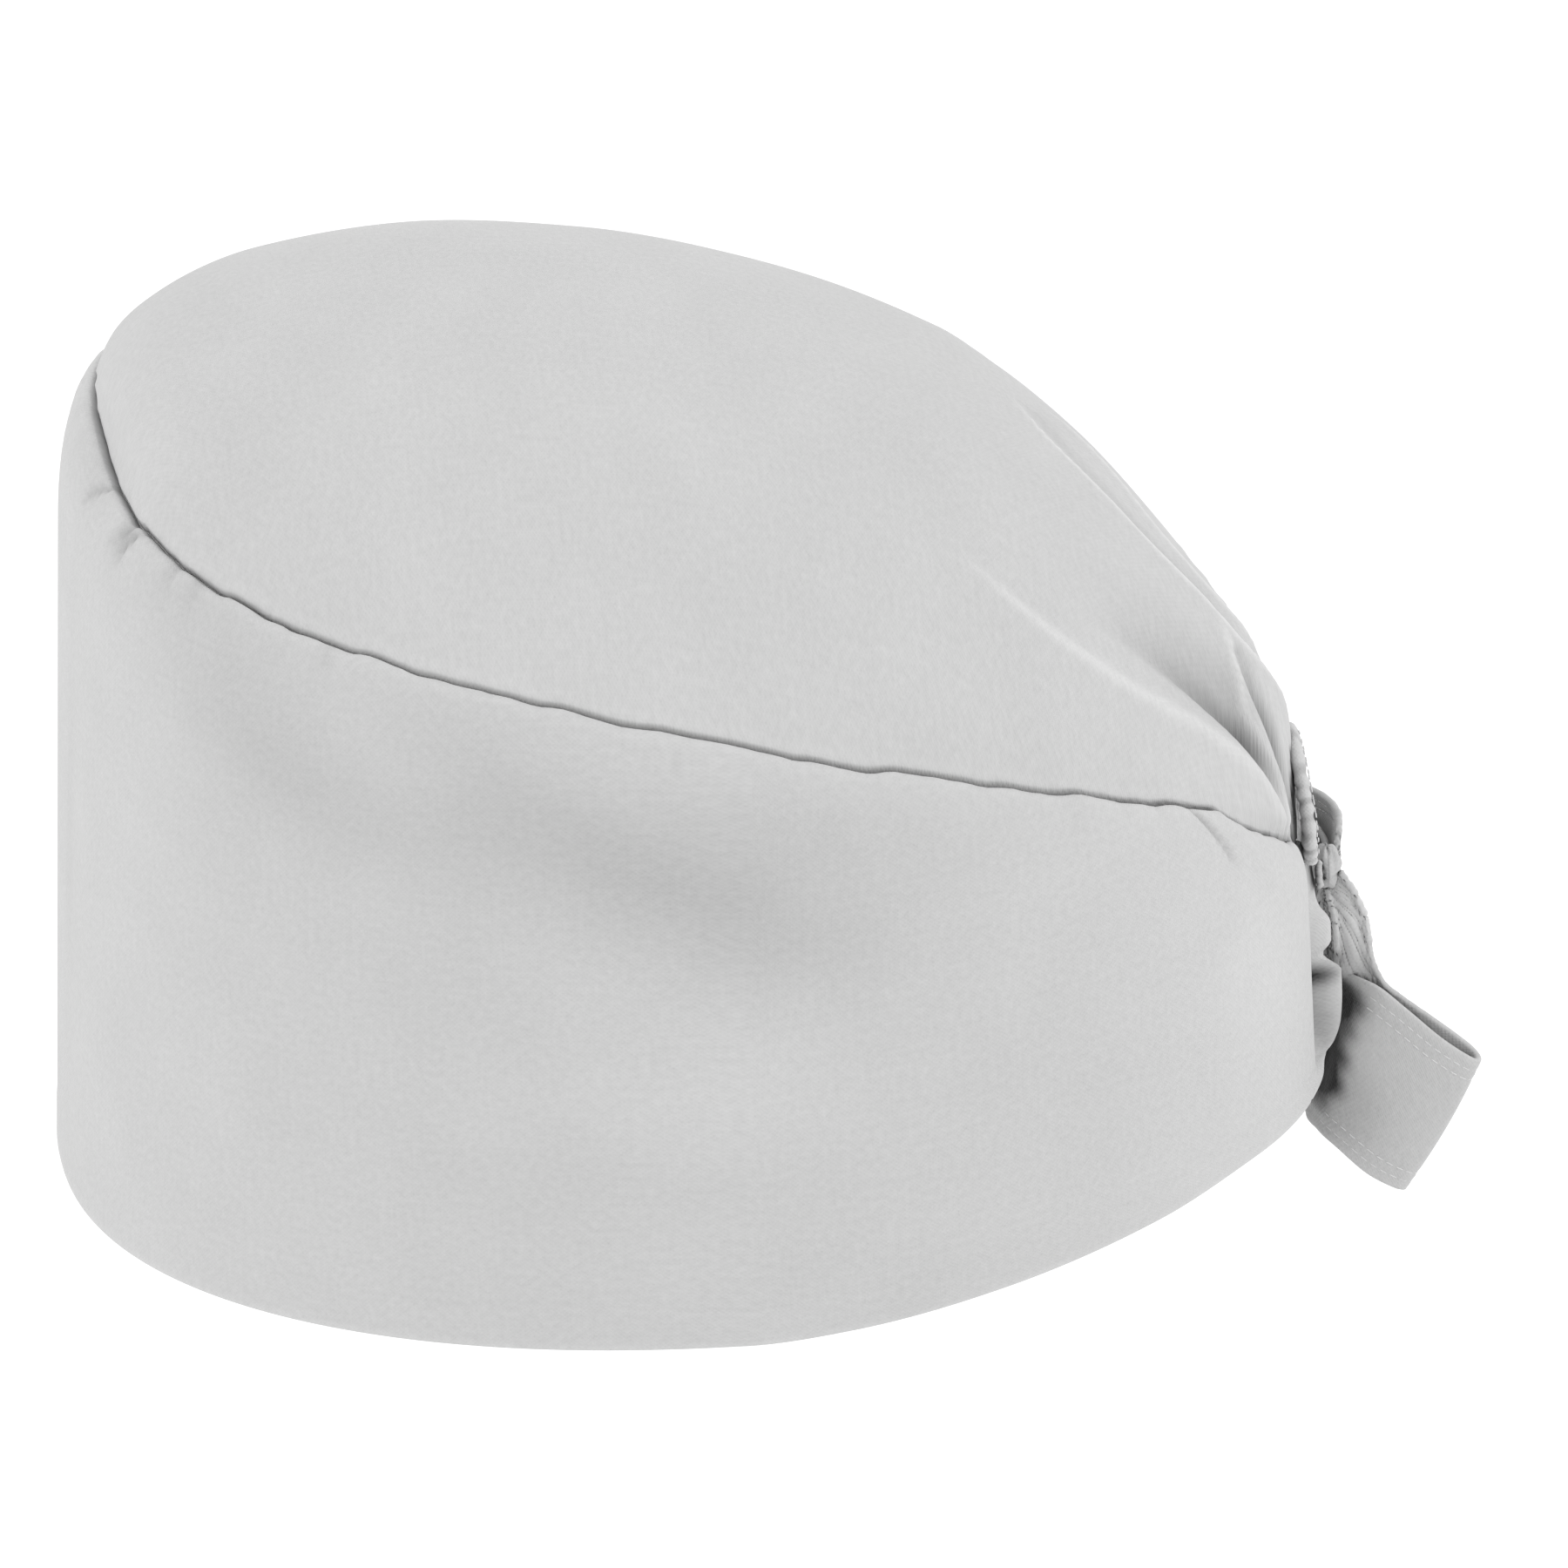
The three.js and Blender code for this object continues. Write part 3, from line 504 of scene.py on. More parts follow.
def oval(shape, turn):
    angle = np.radians(turn)
    along, side = -np.cos(angle), np.sin(angle)
    front = along < 0
    square = np.where(front, shape["square_front"], shape["square_back"])
    reach = np.where(front, shape["front"] + shape["middle"], shape["back"] - shape["middle"])
    x = shape["half"] * power(side, 2 / square)
    y = shape["middle"] + reach * power(along, 2 / square)
    return np.stack([x, y, np.zeros_like(x)], -1)


def outward(turn):
    step = oval(RIM, turn + 0.5) - oval(RIM, turn - 0.5)
    out = np.stack([step[..., 1], -step[..., 0], step[..., 2]], -1)
    return out / np.linalg.norm(out, axis=-1, keepdims=True)


def seam_height(y):
    return read(SEAM_LINE, "y", "z", y)


round_rim = oval(RIM, np.linspace(-180, 180, 721))
rim_length = np.linalg.norm(np.diff(round_rim, axis=0), axis=1).sum()
print("rim, all the way round:", round(float(rim_length)), "mm")

# %% [markdown]
# ## Puckers along the seam
#
# Stitching pulls cloth up a little, so the seam wavers and short puckers run out
# of it on both sides. Sines of unlike lengths, added up, waver without an even
# beat, and they give the same cap each time.

# %% Let the seam waver
WAVES = table(
    "length height phase",
    (31.0, 0.22, 0.4), (17.3, 0.2, 2.1), (11.9, 0.16, 4.4), (7.1, 0.1, 1.3),
)
# "side" is 1 on the crown and -1 on the band; a depth below 0 stands up.
PUCKERS = table(
    "turn side depth wide reach",
    (13.0, -1, -0.5, 1.6, 8),
    (26.5, -1, 0.5, 1.3, 6), (31.5, -1, 0.4, 1.6, 6), (52, -1, 0.35, 2.0, 8),
    (-14.2, 1, -0.35, 0.9, 4), (-10.4, 1, -0.4, 0.9, 5), (-6.0, 1, -0.35, 0.9, 4),
    (38.5, 1, -0.35, 1.2, 3), (41.5, 1, -0.3, 1.1, 3), (35.5, 1, -0.25, 1.1, 3),
    (-28, -1, 0.9, 2.4, 10), (-40, -1, 0.8, 2.6, 10), (-21, 1, 0.4, 2.0, 6),
)
MM_PER_TURN = 1.75
# Small ripples all along the seam, which swell and fade, and longer ones under them.
RIPPLE = {"height": 0.13, "length": 4.3, "phase": 1.1, "swell": 43.0}
LONG_RIPPLE = {"height": 0.11, "length": 9.7, "phase": 2.3}
RIPPLE_REACH, PUCKER_START = 3.0, 1.6


def round_mm(turn):
    return turn * MM_PER_TURN


def waver(turn):
    s = round_mm(turn)
    return sum(w["height"] * np.sin(2 * np.pi * s / w["length"] + w["phase"]) for w in WAVES)


def pucker(turn, away, side):
    """How far the cloth sinks away from the seam; side is 1 on the crown and -1 on the band."""
    s = round_mm(turn)
    swell = np.sin(2 * np.pi * s / RIPPLE["swell"] + side)
    small = sum(
        ripple["height"] * np.sin(2 * np.pi * s / ripple["length"] + ripple["phase"] * side) * size
        for ripple, size in ((RIPPLE, swell), (LONG_RIPPLE, 1.0))
    )
    sink = small * np.exp(-away / RIPPLE_REACH)
    for row in PUCKERS:
        if row["side"] == side:
            off = (s - round_mm(row["turn"])) / row["wide"]
            sink = sink + row["depth"] * bell(off) * bell(away / row["reach"])
    return sink * ease(away / PUCKER_START)


print("the seam wavers by up to", round(float(np.abs(waver(np.linspace(-180, 180, 999))).max()), 2), "mm")

# %% [markdown]
# ## The band
#
# The band rises from the rim, leans in a little and rolls over a soft shoulder
# into the seam. Its two free ends stop short of each other at the nape. There
# each end is drawn in by the ties, so a groove runs up it, and the hem beyond the
# groove flares out again.

# %% The band's tables
SHOULDER = table(
    "turn inset tall",
    (0, 7.0, 24), (60, 6.2, 17), (100, 4.6, 10), (135, 4.6, 10), (158, 4.6, 12), (170, 4, 12), (180, 3, 8),
)
BAND_DENTS = table(
    "turn up wide tall depth",
    (62, 0.66, 22, 0.2, 2.0), (96, 0.6, 16, 0.13, 1.8), (84, 0.86, 16, 0.08, -1.4),
    (118, 0.84, 15, 0.1, -1.6), (46, 0.88, 9, 0.07, -1.2), (138, 0.5, 16, 0.3, -1.6),
    (128, 0.28, 12, 0.16, 1.4), (-66, 0.62, 24, 0.2, 1.8), (-104, 0.56, 16, 0.14, 1.8),
    (-88, 0.86, 18, 0.09, -1.2), (-136, 0.5, 16, 0.3, -1.4), (-36, 0.94, 7, 0.05, -1.9),
)
BAND_END = table(
    "up turn groove flare",
    (0, 166.2, 0, 0), (0.07, 169.6, 1.2, 1.6), (0.14, 172.2, 3.0, 3.4), (0.24, 173.4, 4.2, 4.1),
    (0.38, 173.8, 4.8, 4.4), (0.48, 173.8, 5.2, 4.5), (0.56, 173.8, 4.6, 1.2), (0.63, 173.8, 3.6, 2.8),
    (0.72, 174, 3.2, 2.8), (0.82, 174, 3.2, 0.6), (0.92, 174, 1.6, 0), (1.0, 174, 0, 0),
)
GROOVE_TURN, GROOVE_WIDE, FLARE_WIDE = 170.0, 2.4, 1.8
RIGHT_END = 0.4
SHOULDER_START = 0.86
SHOULDER_ROLL = math.radians(98)
BELLY = 1.6


# %% [markdown]
# The seam itself is a narrow groove: both cloths turn down into it side by side.
# It is deepest round the forehead and near the back, and it fades out where the
# crown is gathered. A groove that narrow needs many rows of points close to the
# seam and few elsewhere, so `from_seam` spaces the rows that way.

# %% The groove along the seam
GROOVE = table(
    "turn deep",
    (0, 1.9), (30, 1.8), (60, 1.6), (135, 1.7), (146, 2.3), (152, 1.5), (157, 0.4), (160, 0.0), (180, 0.0),
)
GROOVE_HALF = 0.5
GROOVE_LEAN, GROOVE_DOWN = 0.6, 0.8
ROWS_NEAR, ROWS_MID = (0.16, 2.2), (0.3, 7.0)
# Shade painted into the seam's groove, and the half width it spreads over.
SEAM_DARK, SEAM_DARK_HALF = 0.6, 0.42
# A highlight is painted along a line beside the seam.
SEAM_HIGHLIGHT = {"share": 0.5, "away": 2.2, "wide": 1.0}


def from_seam(total, count, crowd):
    """Distances from the seam for each row, close together near it; crowd over 1 crowds the far end."""
    row = np.linspace(0, 1, count)
    close = np.interp(row, (0, ROWS_NEAR[0], ROWS_MID[0]), (0, ROWS_NEAR[1], ROWS_MID[1]))
    rest = 1 - (1 - np.clip((row - ROWS_MID[0]) / (1 - ROWS_MID[0]), 0, 1)) ** crowd
    far = ROWS_MID[1] + (total[:, None] - ROWS_MID[1]) * rest
    return np.where(row <= ROWS_MID[0], close, far)


def seam_shade(turn, away):
    """How much shade is painted into the groove, as a share of the painted highlight along an edge."""
    return SEAM_DARK * read(GROOVE, "turn", "deep", np.abs(turn)) * bell(away / SEAM_DARK_HALF)


# The highlight painted along a line beside the seam.
def beside_seam_highlight(away):
    return SEAM_HIGHLIGHT["share"] * bell((away - SEAM_HIGHLIGHT["away"]) / SEAM_HIGHLIGHT["wide"])


def into_groove(grid, turn, away):
    """Turns the cloth down into the groove."""
    deep = read(GROOVE, "turn", "deep", np.abs(turn)) * bell(away / GROOVE_HALF)
    out = outward(turn)
    down = np.full(turn.shape, -GROOVE_DOWN)
    inward = np.stack([-GROOVE_LEAN * out[..., 0], -GROOVE_LEAN * out[..., 1], down], -1)
    return grid + inward * deep[..., None]


print("groove at the forehead:", GROOVE[0]["deep"], "mm deep")


# %% One point of the band's outer face
def band_point(turn, up):
    side = np.abs(turn)
    rim = oval(RIM, turn)
    rim[..., 2] = read(RIM_LINE, "y", "z", rim[..., 1])
    seam = oval(SEAM, turn)
    seam[..., 2] = seam_height(seam[..., 1]) + waver(turn)
    out = outward(turn)
    inset = read(SHOULDER, "turn", "inset", side)[..., None]
    tall = read(SHOULDER, "turn", "tall", side)[..., None]
    top = seam + out * inset
    top[..., 2:] -= tall
    level = up[..., None]
    p = mix(rim, top, np.minimum(1, level / SHOULDER_START))
    belly = np.sin(np.pi * np.clip(up / 0.95, 0, 1)) * np.sin(np.radians(side)) ** 2
    p = p + out * (BELLY * belly)[..., None]
    curl = np.clip((level - SHOULDER_START) / (1 - SHOULDER_START), 0, 1) * SHOULDER_ROLL
    p = p - out * inset * (1 - np.cos(curl)) / (1 - math.cos(SHOULDER_ROLL))
    p[..., 2:] += tall * np.sin(curl) / math.sin(SHOULDER_ROLL)
    for dent in BAND_DENTS:
        press = bell((turn - dent["turn"]) / dent["wide"]) * bell((up - dent["up"]) / dent["tall"])
        p = p - out * (dent["depth"] * press)[..., None]
    share = np.where(turn < 0, RIGHT_END, 1.0)
    end = read(BAND_END, "up", "turn", up)
    groove = share * read(BAND_END, "up", "groove", up) * bell((side - GROOVE_TURN) / GROOVE_WIDE)
    flare = share * read(BAND_END, "up", "flare", up) * bell((side - end) / FLARE_WIDE)
    return p + out * (flare - groove)[..., None]


def lengths(grid, axis):
    step = np.linalg.norm(np.diff(grid, axis=axis), axis=2)
    start = np.zeros_like(np.take(step, [0], axis))
    return np.cumsum(np.concatenate([start, step], axis), axis)


# Broad patches of painted shade on the band, or of painted light where "dark" is
# below 0. A patch climbs by "lean" for each degree of turn. The dark ones near
# turn 172 are shade painted into the hollow of the hem, which hardly any light
# reaches.
PATCHES = table(
    "turn up wide tall lean dark",
    (46, 0.84, 20, 0.1, -0.005, 1.8), (80, 0.76, 16, 0.1, -0.007, 2.0), (58, 0.86, 12, 0.06, 0, -0.6),
    (88, 0.4, 18, 0.1, 0, -0.8), (122, 0.8, 14, 0.1, 0, -0.5), (150, 0.5, 8, 0.4, 0, -0.7),
    (14, 0.4, 10, 0.4, 0, -0.2), (2.5, 0.5, 2.2, 0.35, 0, 0.8), (96, 0.75, 12, 0.16, 0, 0.9),
    (15.4, 0.957, 1.7, 0.028, 0, 2.6), (171.9, 0.48, 1.5, 0.055, 0, 14.0), (171.4, 0.3, 1.3, 0.2, 0, 7.0),
    (2, 0.96, 8, 0.05, 0, 1.0), (172.6, 0.17, 1.4, 0.14, 0, 1.5),
)


# Adds up the painted shade and light of the patches.
def uneven(turn, up):
    dark = np.zeros_like(up)
    for patch in PATCHES:
        off = turn - patch["turn"]
        level = up - patch["up"] - patch["lean"] * off
        dark = dark + patch["dark"] * bell(off / patch["wide"]) * bell(level / patch["tall"])
    return dark


# %% [markdown]
# Now the band's grid gets its small forms: puckers, short tucks and the stitched
# hems. They could be painted on as bump, but real geometry also changes the
# outline and catches the light from every side.

# %% Sew the band
BAND_COLUMNS, BAND_ROWS = 440, 104
HEM, SIDE_HEM = 9.0, 5.0
# A hem is pressed in along its stitches and stands out a little below them.
HEM_PRESS = {"deep": 0.13, "wide": 0.6, "out": 0.08}
SIDE_PRESS = {"deep": 0.2, "wide": 0.5}
# How far a hem's painted highlight reaches from the cut edge.
HEM_HIGHLIGHT = 1.0
# Shade painted into the hollow of a tuck, and how far below the seam it reaches.
TUCK_DARK, TUCK_DARK_REACH = 5.0, 9.0
# Short creases of the band: from a turn and a distance below the seam to another.
TUCKS = table(
    "turn0 below0 turn1 below1 depth wide",
    (141.4, 1.6, 146.2, 11.4, 1.0, 0.8), (145.0, 2.0, 154.0, 11.0, -0.4, 1.6),
    (17.8, 1.0, 15.2, 8.8, 1.0, 0.85), (15.4, 1.0, 13.0, 7.0, 0.7, 2.0), (6.8, 0.8, 2.9, 8.6, 0.8, 0.8),
)
SPREAD_TURN, SPREAD_SHARE, SPREAD_CROWD = 142.0, 0.64, 1.3
# A tuck keeps its depth this far from its middle and fades over this share beyond.
TUCK_FLAT, TUCK_FADE = 0.35, 0.2
FINE_STEPS = 500


def spaced_turns(columns):
    """Turns as shares of a half round, closer together where the cloth is gathered."""
    t = np.linspace(-1, 1, columns)
    size = np.abs(t)
    far = 1 - (1 - np.clip((size - SPREAD_SHARE) / (1 - SPREAD_SHARE), 0, 1)) ** SPREAD_CROWD
    near = size * (SPREAD_TURN / SPREAD_SHARE)
    return np.sign(t) * np.where(size < SPREAD_SHARE, near, SPREAD_TURN + (180 - SPREAD_TURN) * far) / 180


def tucks(turn, below):
    sink = np.zeros_like(below)
    s = round_mm(turn)
    for row in TUCKS:
        start = np.array((round_mm(row["turn0"]), row["below0"]))
        along = np.array((round_mm(row["turn1"]), row["below1"])) - start
        size = np.linalg.norm(along)
        along /= size
        ds, db = s - start[0], below - start[1]
        where = (ds * along[0] + db * along[1]) / size
        off = (ds * along[1] - db * along[0]) / row["wide"]
        inside = bell(np.maximum(np.abs(where - 0.5) - TUCK_FLAT, 0) / TUCK_FADE)
        sink = sink + row["depth"] * bell(off) * inside
    return sink


def make_band():
    share = spaced_turns(BAND_COLUMNS)
    fine = np.linspace(0, 1, FINE_STEPS)
    shares, ups = np.meshgrid(share, fine, indexing="ij")
    reach = read(BAND_END, "up", "turn", ups)
    rise = lengths(band_point(shares * reach, ups), 1)
    below = from_seam(rise[:, -1], BAND_ROWS, 1.5)[:, ::-1]
    up = np.array([np.interp(r[-1] - b, r, fine) for r, b in zip(rise, below)])
    turn = share[:, None] * read(BAND_END, "up", "turn", up)
    grid = band_point(turn, up)
    normal = grid_normals(grid, False)
    sink = pucker(turn, below, -1) + tucks(turn, below)
    rise = lengths(grid, 1)
    hem = HEM_PRESS["deep"] * bell((rise - HEM) / HEM_PRESS["wide"]) - HEM_PRESS["out"] * ease(HEM - rise)
    side = np.minimum(lengths(grid, 0), lengths(grid[::-1], 0)[::-1])
    hem = hem + SIDE_PRESS["deep"] * bell((side - SIDE_HEM) / SIDE_PRESS["wide"])
    grid = grid - normal * (sink + hem)[..., None]
    grid = into_groove(grid, turn, below)
    way = np.stack([round_mm(turn), rise], -1)
    # Painted highlight along the hems and beside the seam; painted shade in the seam's groove, in the tucks
    # and in the patches.
    edge = np.clip(bell(rise / HEM_HIGHLIGHT) + beside_seam_highlight(below) + bell(side / HEM_HIGHLIGHT), 0, 1)
    tuck_shade = TUCK_DARK * np.clip(sink, 0, 1) * bell(below / TUCK_DARK_REACH)
    edge = edge - seam_shade(turn, below) - tuck_shade - uneven(turn, up)
    return cloth("band_cloth", grid, way, edge, CLOTH, cap_cotton), rise


band, band_rise = make_band()
front_height = round(float(band_rise[BAND_COLUMNS // 2, -1]))
print("band:", len(band.data.polygons), "faces; front height", front_height, "mm")

# %% [markdown]
# ## The crown
#
# The crown is an oval of cloth that rises steeply at the forehead and slopes down
# to the back, where it is gathered into the casing. It could be a subdivision
# surface, but its height over the plan is easy to write down: a middle line, an
# arch across it, and folds that run along curves in the plan. A fold has a gentle
# side and a steep side, as a real tuck has.

# %% The crown's tables
CROWN_LINE = table(
    "y z",
    (-107.2, 147), (-103.8, 158.4), (-95, 167.2), (-75, 174.6), (-45, 177.8), (-15, 174.9), (15, 167.4),
    (45, 155.3), (60, 145.3), (75, 131.6), (90, 113.2), (99, 100.9), (104, 93.2), (107.6, 86.4),
    (109.8, 79.4), (111.2, 71), (112.4, 55),
)
CROWN_ARCH = table("y arch", (-108, 2.9), (-80, 2.5), (-50, 2.4), (112, 2.4))
CROWN_MIDDLE = -18.0
SEAM_GAP = 0.25
# A fold runs along a path over the plan, from its open end to the gather. Its
# height is "low" at the open end and "high" at the gather, and below 0 it is a
# valley. "near" is the width of the side towards the wearer's left and "far" of
# the other, both shrink to "taper" of that, and "crease" is how strong a painted
# highlight runs along the line or, below 0, how much painted shade darkens the
# valley.
FOLDS = table(
    "path low high near far taper crease",
    (((-6, 59), (4.5, 64.5), (9.5, 73), (11.5, 83), (9.5, 93), (8.0, 101), (3, 108)),
     0.9, 2.1, 6.5, 1.2, 0.5, 4.2),
    (((-11, 66), (-10, 74), (-6, 81), (-1, 88), (-1, 98), (-5, 105)), 0.6, 1.0, 2.6, 1.4, 0.7, 3.4),
    (((-7.5, 63), (0.5, 69), (4.5, 76), (6, 85), (4.6, 94), (3.4, 103)), -0.5, -0.7, 2.6, 2.6, 0.7, -2.2),
    (((6.0, 94), (5.0, 100), (3.4, 105.6), (-1.0, 110)), -0.4, -2.6, 1.2, 1.8, 0.9, -9.0),
    (((32, 56), (35, 72), (31, 86), (19, 101)), 0.0, -2.2, 9.0, 9.0, 0.5, -4.2),
    (((47.8, 42), (49.8, 56), (48.9, 66.8), (44.3, 79.7), (35, 93), (22, 106)),
     0.35, 1.9, 6.5, 1.4, 0.6, 2.6),
    (((42, 64), (38.5, 78), (31.0, 91.5), (21.0, 104)), 0.0, -4.0, 1.4, 4.0, 0.45, -9.5),
    (((9.5, 96), (14.5, 100.4), (18.6, 102.6), (18.0, 107)), 0.3, 1.9, 2.0, 1.6, 0.8, 4.0),
    (((10.5, 99.0), (12.8, 104.0), (12.2, 109)), -0.8, -4.4, 1.9, 1.6, 0.8, -13.0),
    (((-30, 46), (-34, 66), (-30, 86), (-13, 105)), 0.4, 1.6, 1.5, 6.0, 0.6, 1.6),
    (((-24, 62), (-26, 80), (-22, 92), (-8, 106)), 0.0, -2.6, 4.0, 1.8, 0.6, -4.0),
    (((-52, 42), (-54, 60), (-48, 82), (-24, 104)), 0.3, 1.6, 1.5, 6.0, 0.6, 1.6),
    (((-46, 58), (-45, 76), (-36, 92), (-19, 105)), 0.0, -2.6, 4.5, 1.6, 0.6, -4.0),
)
# Half the width of a crease's painted highlight.
CREASE_HALF = 0.9
# A fold fades in at its open end, grows towards the gather and rounds off past its path.
FOLD = {"steps": 90, "start": 0.12, "grow": 1.8, "past": 3.0, "sharp": 1.6, "crease_start": 0.2}
# The least and most painted light and shade that the folds give.
FOLD_SHADING_LEAST, FOLD_SHADING_MOST = -13, 7
# The ruffles of the gathered edge; "dark" is the shade painted into their hollows.
GATHER = {"turn": 161.0, "start": 5.0, "reach": 7.5, "depth": 0.7, "length": 2.9, "sway": 0.6, "dark": 5.0}
# How far from the seam the folds begin and the seam's waver reaches.
FOLDS_FROM, WAVER_REACH = 5.0, 6.0
# The crown slopes, so its cloth is longer from front to back than its plan.
SLOPE_LENGTH = 1.25
# Where the crown stands up behind the seam, on the far side of the forehead: a
# depth below 0 stands up.
FAR_FRONT = {"turn": -24.0, "wide": 20.0, "away": 6.0, "tall": 6.5, "depth": -1.0, "start": 2.0}


# %% The crown's height over its plan
def crown_half(y):
    away = y - SEAM["middle"]
    square = np.where(away < 0, SEAM["square_front"], SEAM["square_back"])
    reach = np.where(away < 0, SEAM["front"] + SEAM["middle"], SEAM["back"] - SEAM["middle"])
    left = np.clip(1 - np.abs(away / reach) ** square, 0, 1)
    return SEAM["half"] * left ** (1 / square)


def crown_base(x, y):
    half = np.maximum(0.5, crown_half(y))
    low = seam_height(y)
    high = np.maximum(low, read(CROWN_LINE, "y", "z", y))
    arch = read(CROWN_ARCH, "y", "arch", y)
    return low + (high - low) * (1 - np.clip(np.abs(x) / half, 0, 1) ** arch)


def fold_rise(x, y):
    """How far the folds lift the cloth, and how much highlight or shade is painted at each point."""
    rise, fold_shading = np.zeros_like(x), np.zeros_like(x)
    t = np.linspace(0, 1, FOLD["steps"])
    for fold in FOLDS:
        path = through(fold["path"], t)
        step = np.gradient(path, axis=0)
        step /= np.linalg.norm(step, axis=1, keepdims=True)
        dx, dy = x[..., None] - path[:, 0], y[..., None] - path[:, 1]
        near = np.argmin(dx**2 + dy**2, -1)[..., None]
        dx, dy = np.take_along_axis(dx, near, -1)[..., 0], np.take_along_axis(dy, near, -1)[..., 0]
        near = near[..., 0]
        ux, uy = step[near, 0], step[near, 1]
        off, past = dx * uy - dy * ux, np.abs(dx * ux + dy * uy)
        where = t[near]
        narrow = mix(1, fold["taper"], where)
        width = np.where(off > 0, fold["near"], fold["far"]) * narrow
        height = mix(fold["low"], fold["high"], where ** FOLD["grow"]) * ease(where / FOLD["start"])
        end = bell(past / FOLD["past"])
        rise += height * np.exp(-np.abs(off / width) ** FOLD["sharp"]) * end
        if fold["crease"] > 0:
            fold_shading += fold["crease"] * bell(off / CREASE_HALF) * end * ease(where / FOLD["crease_start"])
        else:
            fold_shading += fold["crease"] * height / fold["high"] * bell(off / width) * end
    return rise, fold_shading


def crown_point(turn, out):
    edge = oval(SEAM, turn)
    inset = outward(turn) * SEAM_GAP
    ex, ey = edge[..., 0] - inset[..., 0], edge[..., 1] - inset[..., 1]
    x, y = ex * out, mix(CROWN_MIDDLE, ey, out)
    z = np.where(out > 0.99999, seam_height(ey), crown_base(x, y))
    return np.stack([x, y, z], -1)


# %% [markdown]
# The crown's grid runs in rings from its middle to the seam. The folds and the
# ruffles lift each point along the cloth's own normal, so a fold on the steep
# back stands as proud as one on top.

# %% Sew the crown
CROWN_COLUMNS, CROWN_ROWS = 440, 108


def crown_rings(turn):
    """Rings evenly spaced along the cloth, with many more near the seam."""
    fine = np.linspace(0, 1, FINE_STEPS) ** 0.8
    length = lengths(crown_point(*np.meshgrid(turn, fine, indexing="ij")), 1)
    away = from_seam(length[:, -1], CROWN_ROWS, 1.0)[:, ::-1]
    return np.array([np.interp(line[-1] - a, line, fine) for line, a in zip(length, away)])


def make_crown():
    turn = spaced_turns(CROWN_COLUMNS + 1)[:-1] * 180
    out = crown_rings(turn)
    turn = np.repeat(turn[:, None], CROWN_ROWS, 1)
    grid = crown_point(turn, out)
    length = lengths(grid, 1)
    away = length[:, -1:] - length
    normal = grid_normals(grid, True)
    normal[:, 0] = (0, 0, 1)
    rise, fold_shading = fold_rise(grid[..., 0], grid[..., 1])
    rise = rise * ease(away / FOLDS_FROM) - pucker(turn, away, 1)
    ruffle = np.cos(2 * np.pi * round_mm(turn) / GATHER["length"] + GATHER["sway"] * np.sin(turn))
    gathered = ease((np.abs(turn) - GATHER["turn"]) / GATHER["start"]) * np.exp(-away / GATHER["reach"])
    rise = rise + GATHER["depth"] * ruffle * gathered
    far = bell((turn - FAR_FRONT["turn"]) / FAR_FRONT["wide"])
    far = far * bell((away - FAR_FRONT["away"]) / FAR_FRONT["tall"])
    rise = rise - FAR_FRONT["depth"] * far * ease(away / FAR_FRONT["start"])
    grid = grid + normal * rise[..., None]
    grid[..., 2] += waver(turn) * np.exp(-away / WAVER_REACH)
    grid = into_groove(grid, turn, away)
    grid[:, 0] = grid[0, 0]
    way = np.stack([grid[..., 0], grid[..., 1] * SLOPE_LENGTH], -1)
    # Painted highlight and shade from the folds, a highlight beside the seam, and shade in its groove and in
    # the hollows of the ruffles.
    edge = np.clip(fold_shading, FOLD_SHADING_LEAST, FOLD_SHADING_MOST) + beside_seam_highlight(away) - seam_shade(turn, away)
    edge = edge - GATHER["dark"] * np.clip(-ruffle, 0, 1) * gathered
    return cloth("crown_cloth", grid, way, edge, CLOTH, cap_cotton, ring=True, pole=True), grid


crown, crown_grid = make_crown()
print("crown:", len(crown.data.polygons), "faces; top at", round(float(crown_grid[..., 2].max()), 1), "mm")

# %% [markdown]
# ## Ribbons
#
# The ties are one flat ribbon of doubled cotton with stitched edges. A short
# table gives each stretch of it as cross-sections: the places of its two edges
# `a` and `b`, how far it bows across and how deep the pleats are that bunch it
# where it comes near the knot. A curve with a bevelled strip could follow the
# path too, but it couldn't twist and bunch like this.

# %% Ribbon sections
RIBBON = 1.15
SECTION = "a b bow pleat"
LOOP_LEFT = table(
    SECTION,
    ((2.8, 120.8, 46.8), (2.6, 118.0, 43.6), 0.6, 0.5),
    ((4.6, 123.2, 43.4), (4.2, 118.6, 41.0), 0.7, 0.8),
    ((5.6, 125.3, 38.0), (5.2, 119.4, 36.8), 0.5, 1.0),
    ((5.8, 126.3, 30.2), (4.4, 119.6, 27.0), 0.3, 0.9),
    ((6.2, 128.7, 24.9), (2.0, 119.0, 11.6), 0.4, 0.6),
    ((7.4, 134.2, 20.5), (3.4, 121.2, -3.4), 0.0, 0.3),
    ((8.8, 140.4, 15.8), (7.8, 126.4, -11.4), -0.4, 0.0),
    ((10.4, 144.3, 12.8), (10.8, 130.8, -12.9), 0.6, 0.0),
    ((12.6, 145.0, 12.0), (13.2, 131.2, -13.0), 0.8, 0.0),
    ((14.6, 143.6, 12.8), (15.2, 129.6, -12.2), 0.6, 0.0),
    ((14.4, 138.0, 17.0), (15.2, 124.2, -8.8), 1.2, 0.0),
    ((12.6, 131.6, 22.6), (12.8, 118.8, -4.2), 1.4, 0.0),
    ((10.2, 126.6, 26.4), (8.6, 116.2, -2.8), 0.9, 0.1),
    ((3.8, 121.4, 27.0), (2.6, 114.6, -1.4), -0.9, 0.3),
    ((1.8, 119.4, 31.4), (1.2, 114.6, 13.0), -0.4, 0.5),
    ((1.8, 119.0, 37.6), (1.4, 115.8, 31.6), -0.2, 0.6),
    ((1.6, 119.6, 44.4), (1.2, 117.2, 43.6), 0.2, 0.4),
)
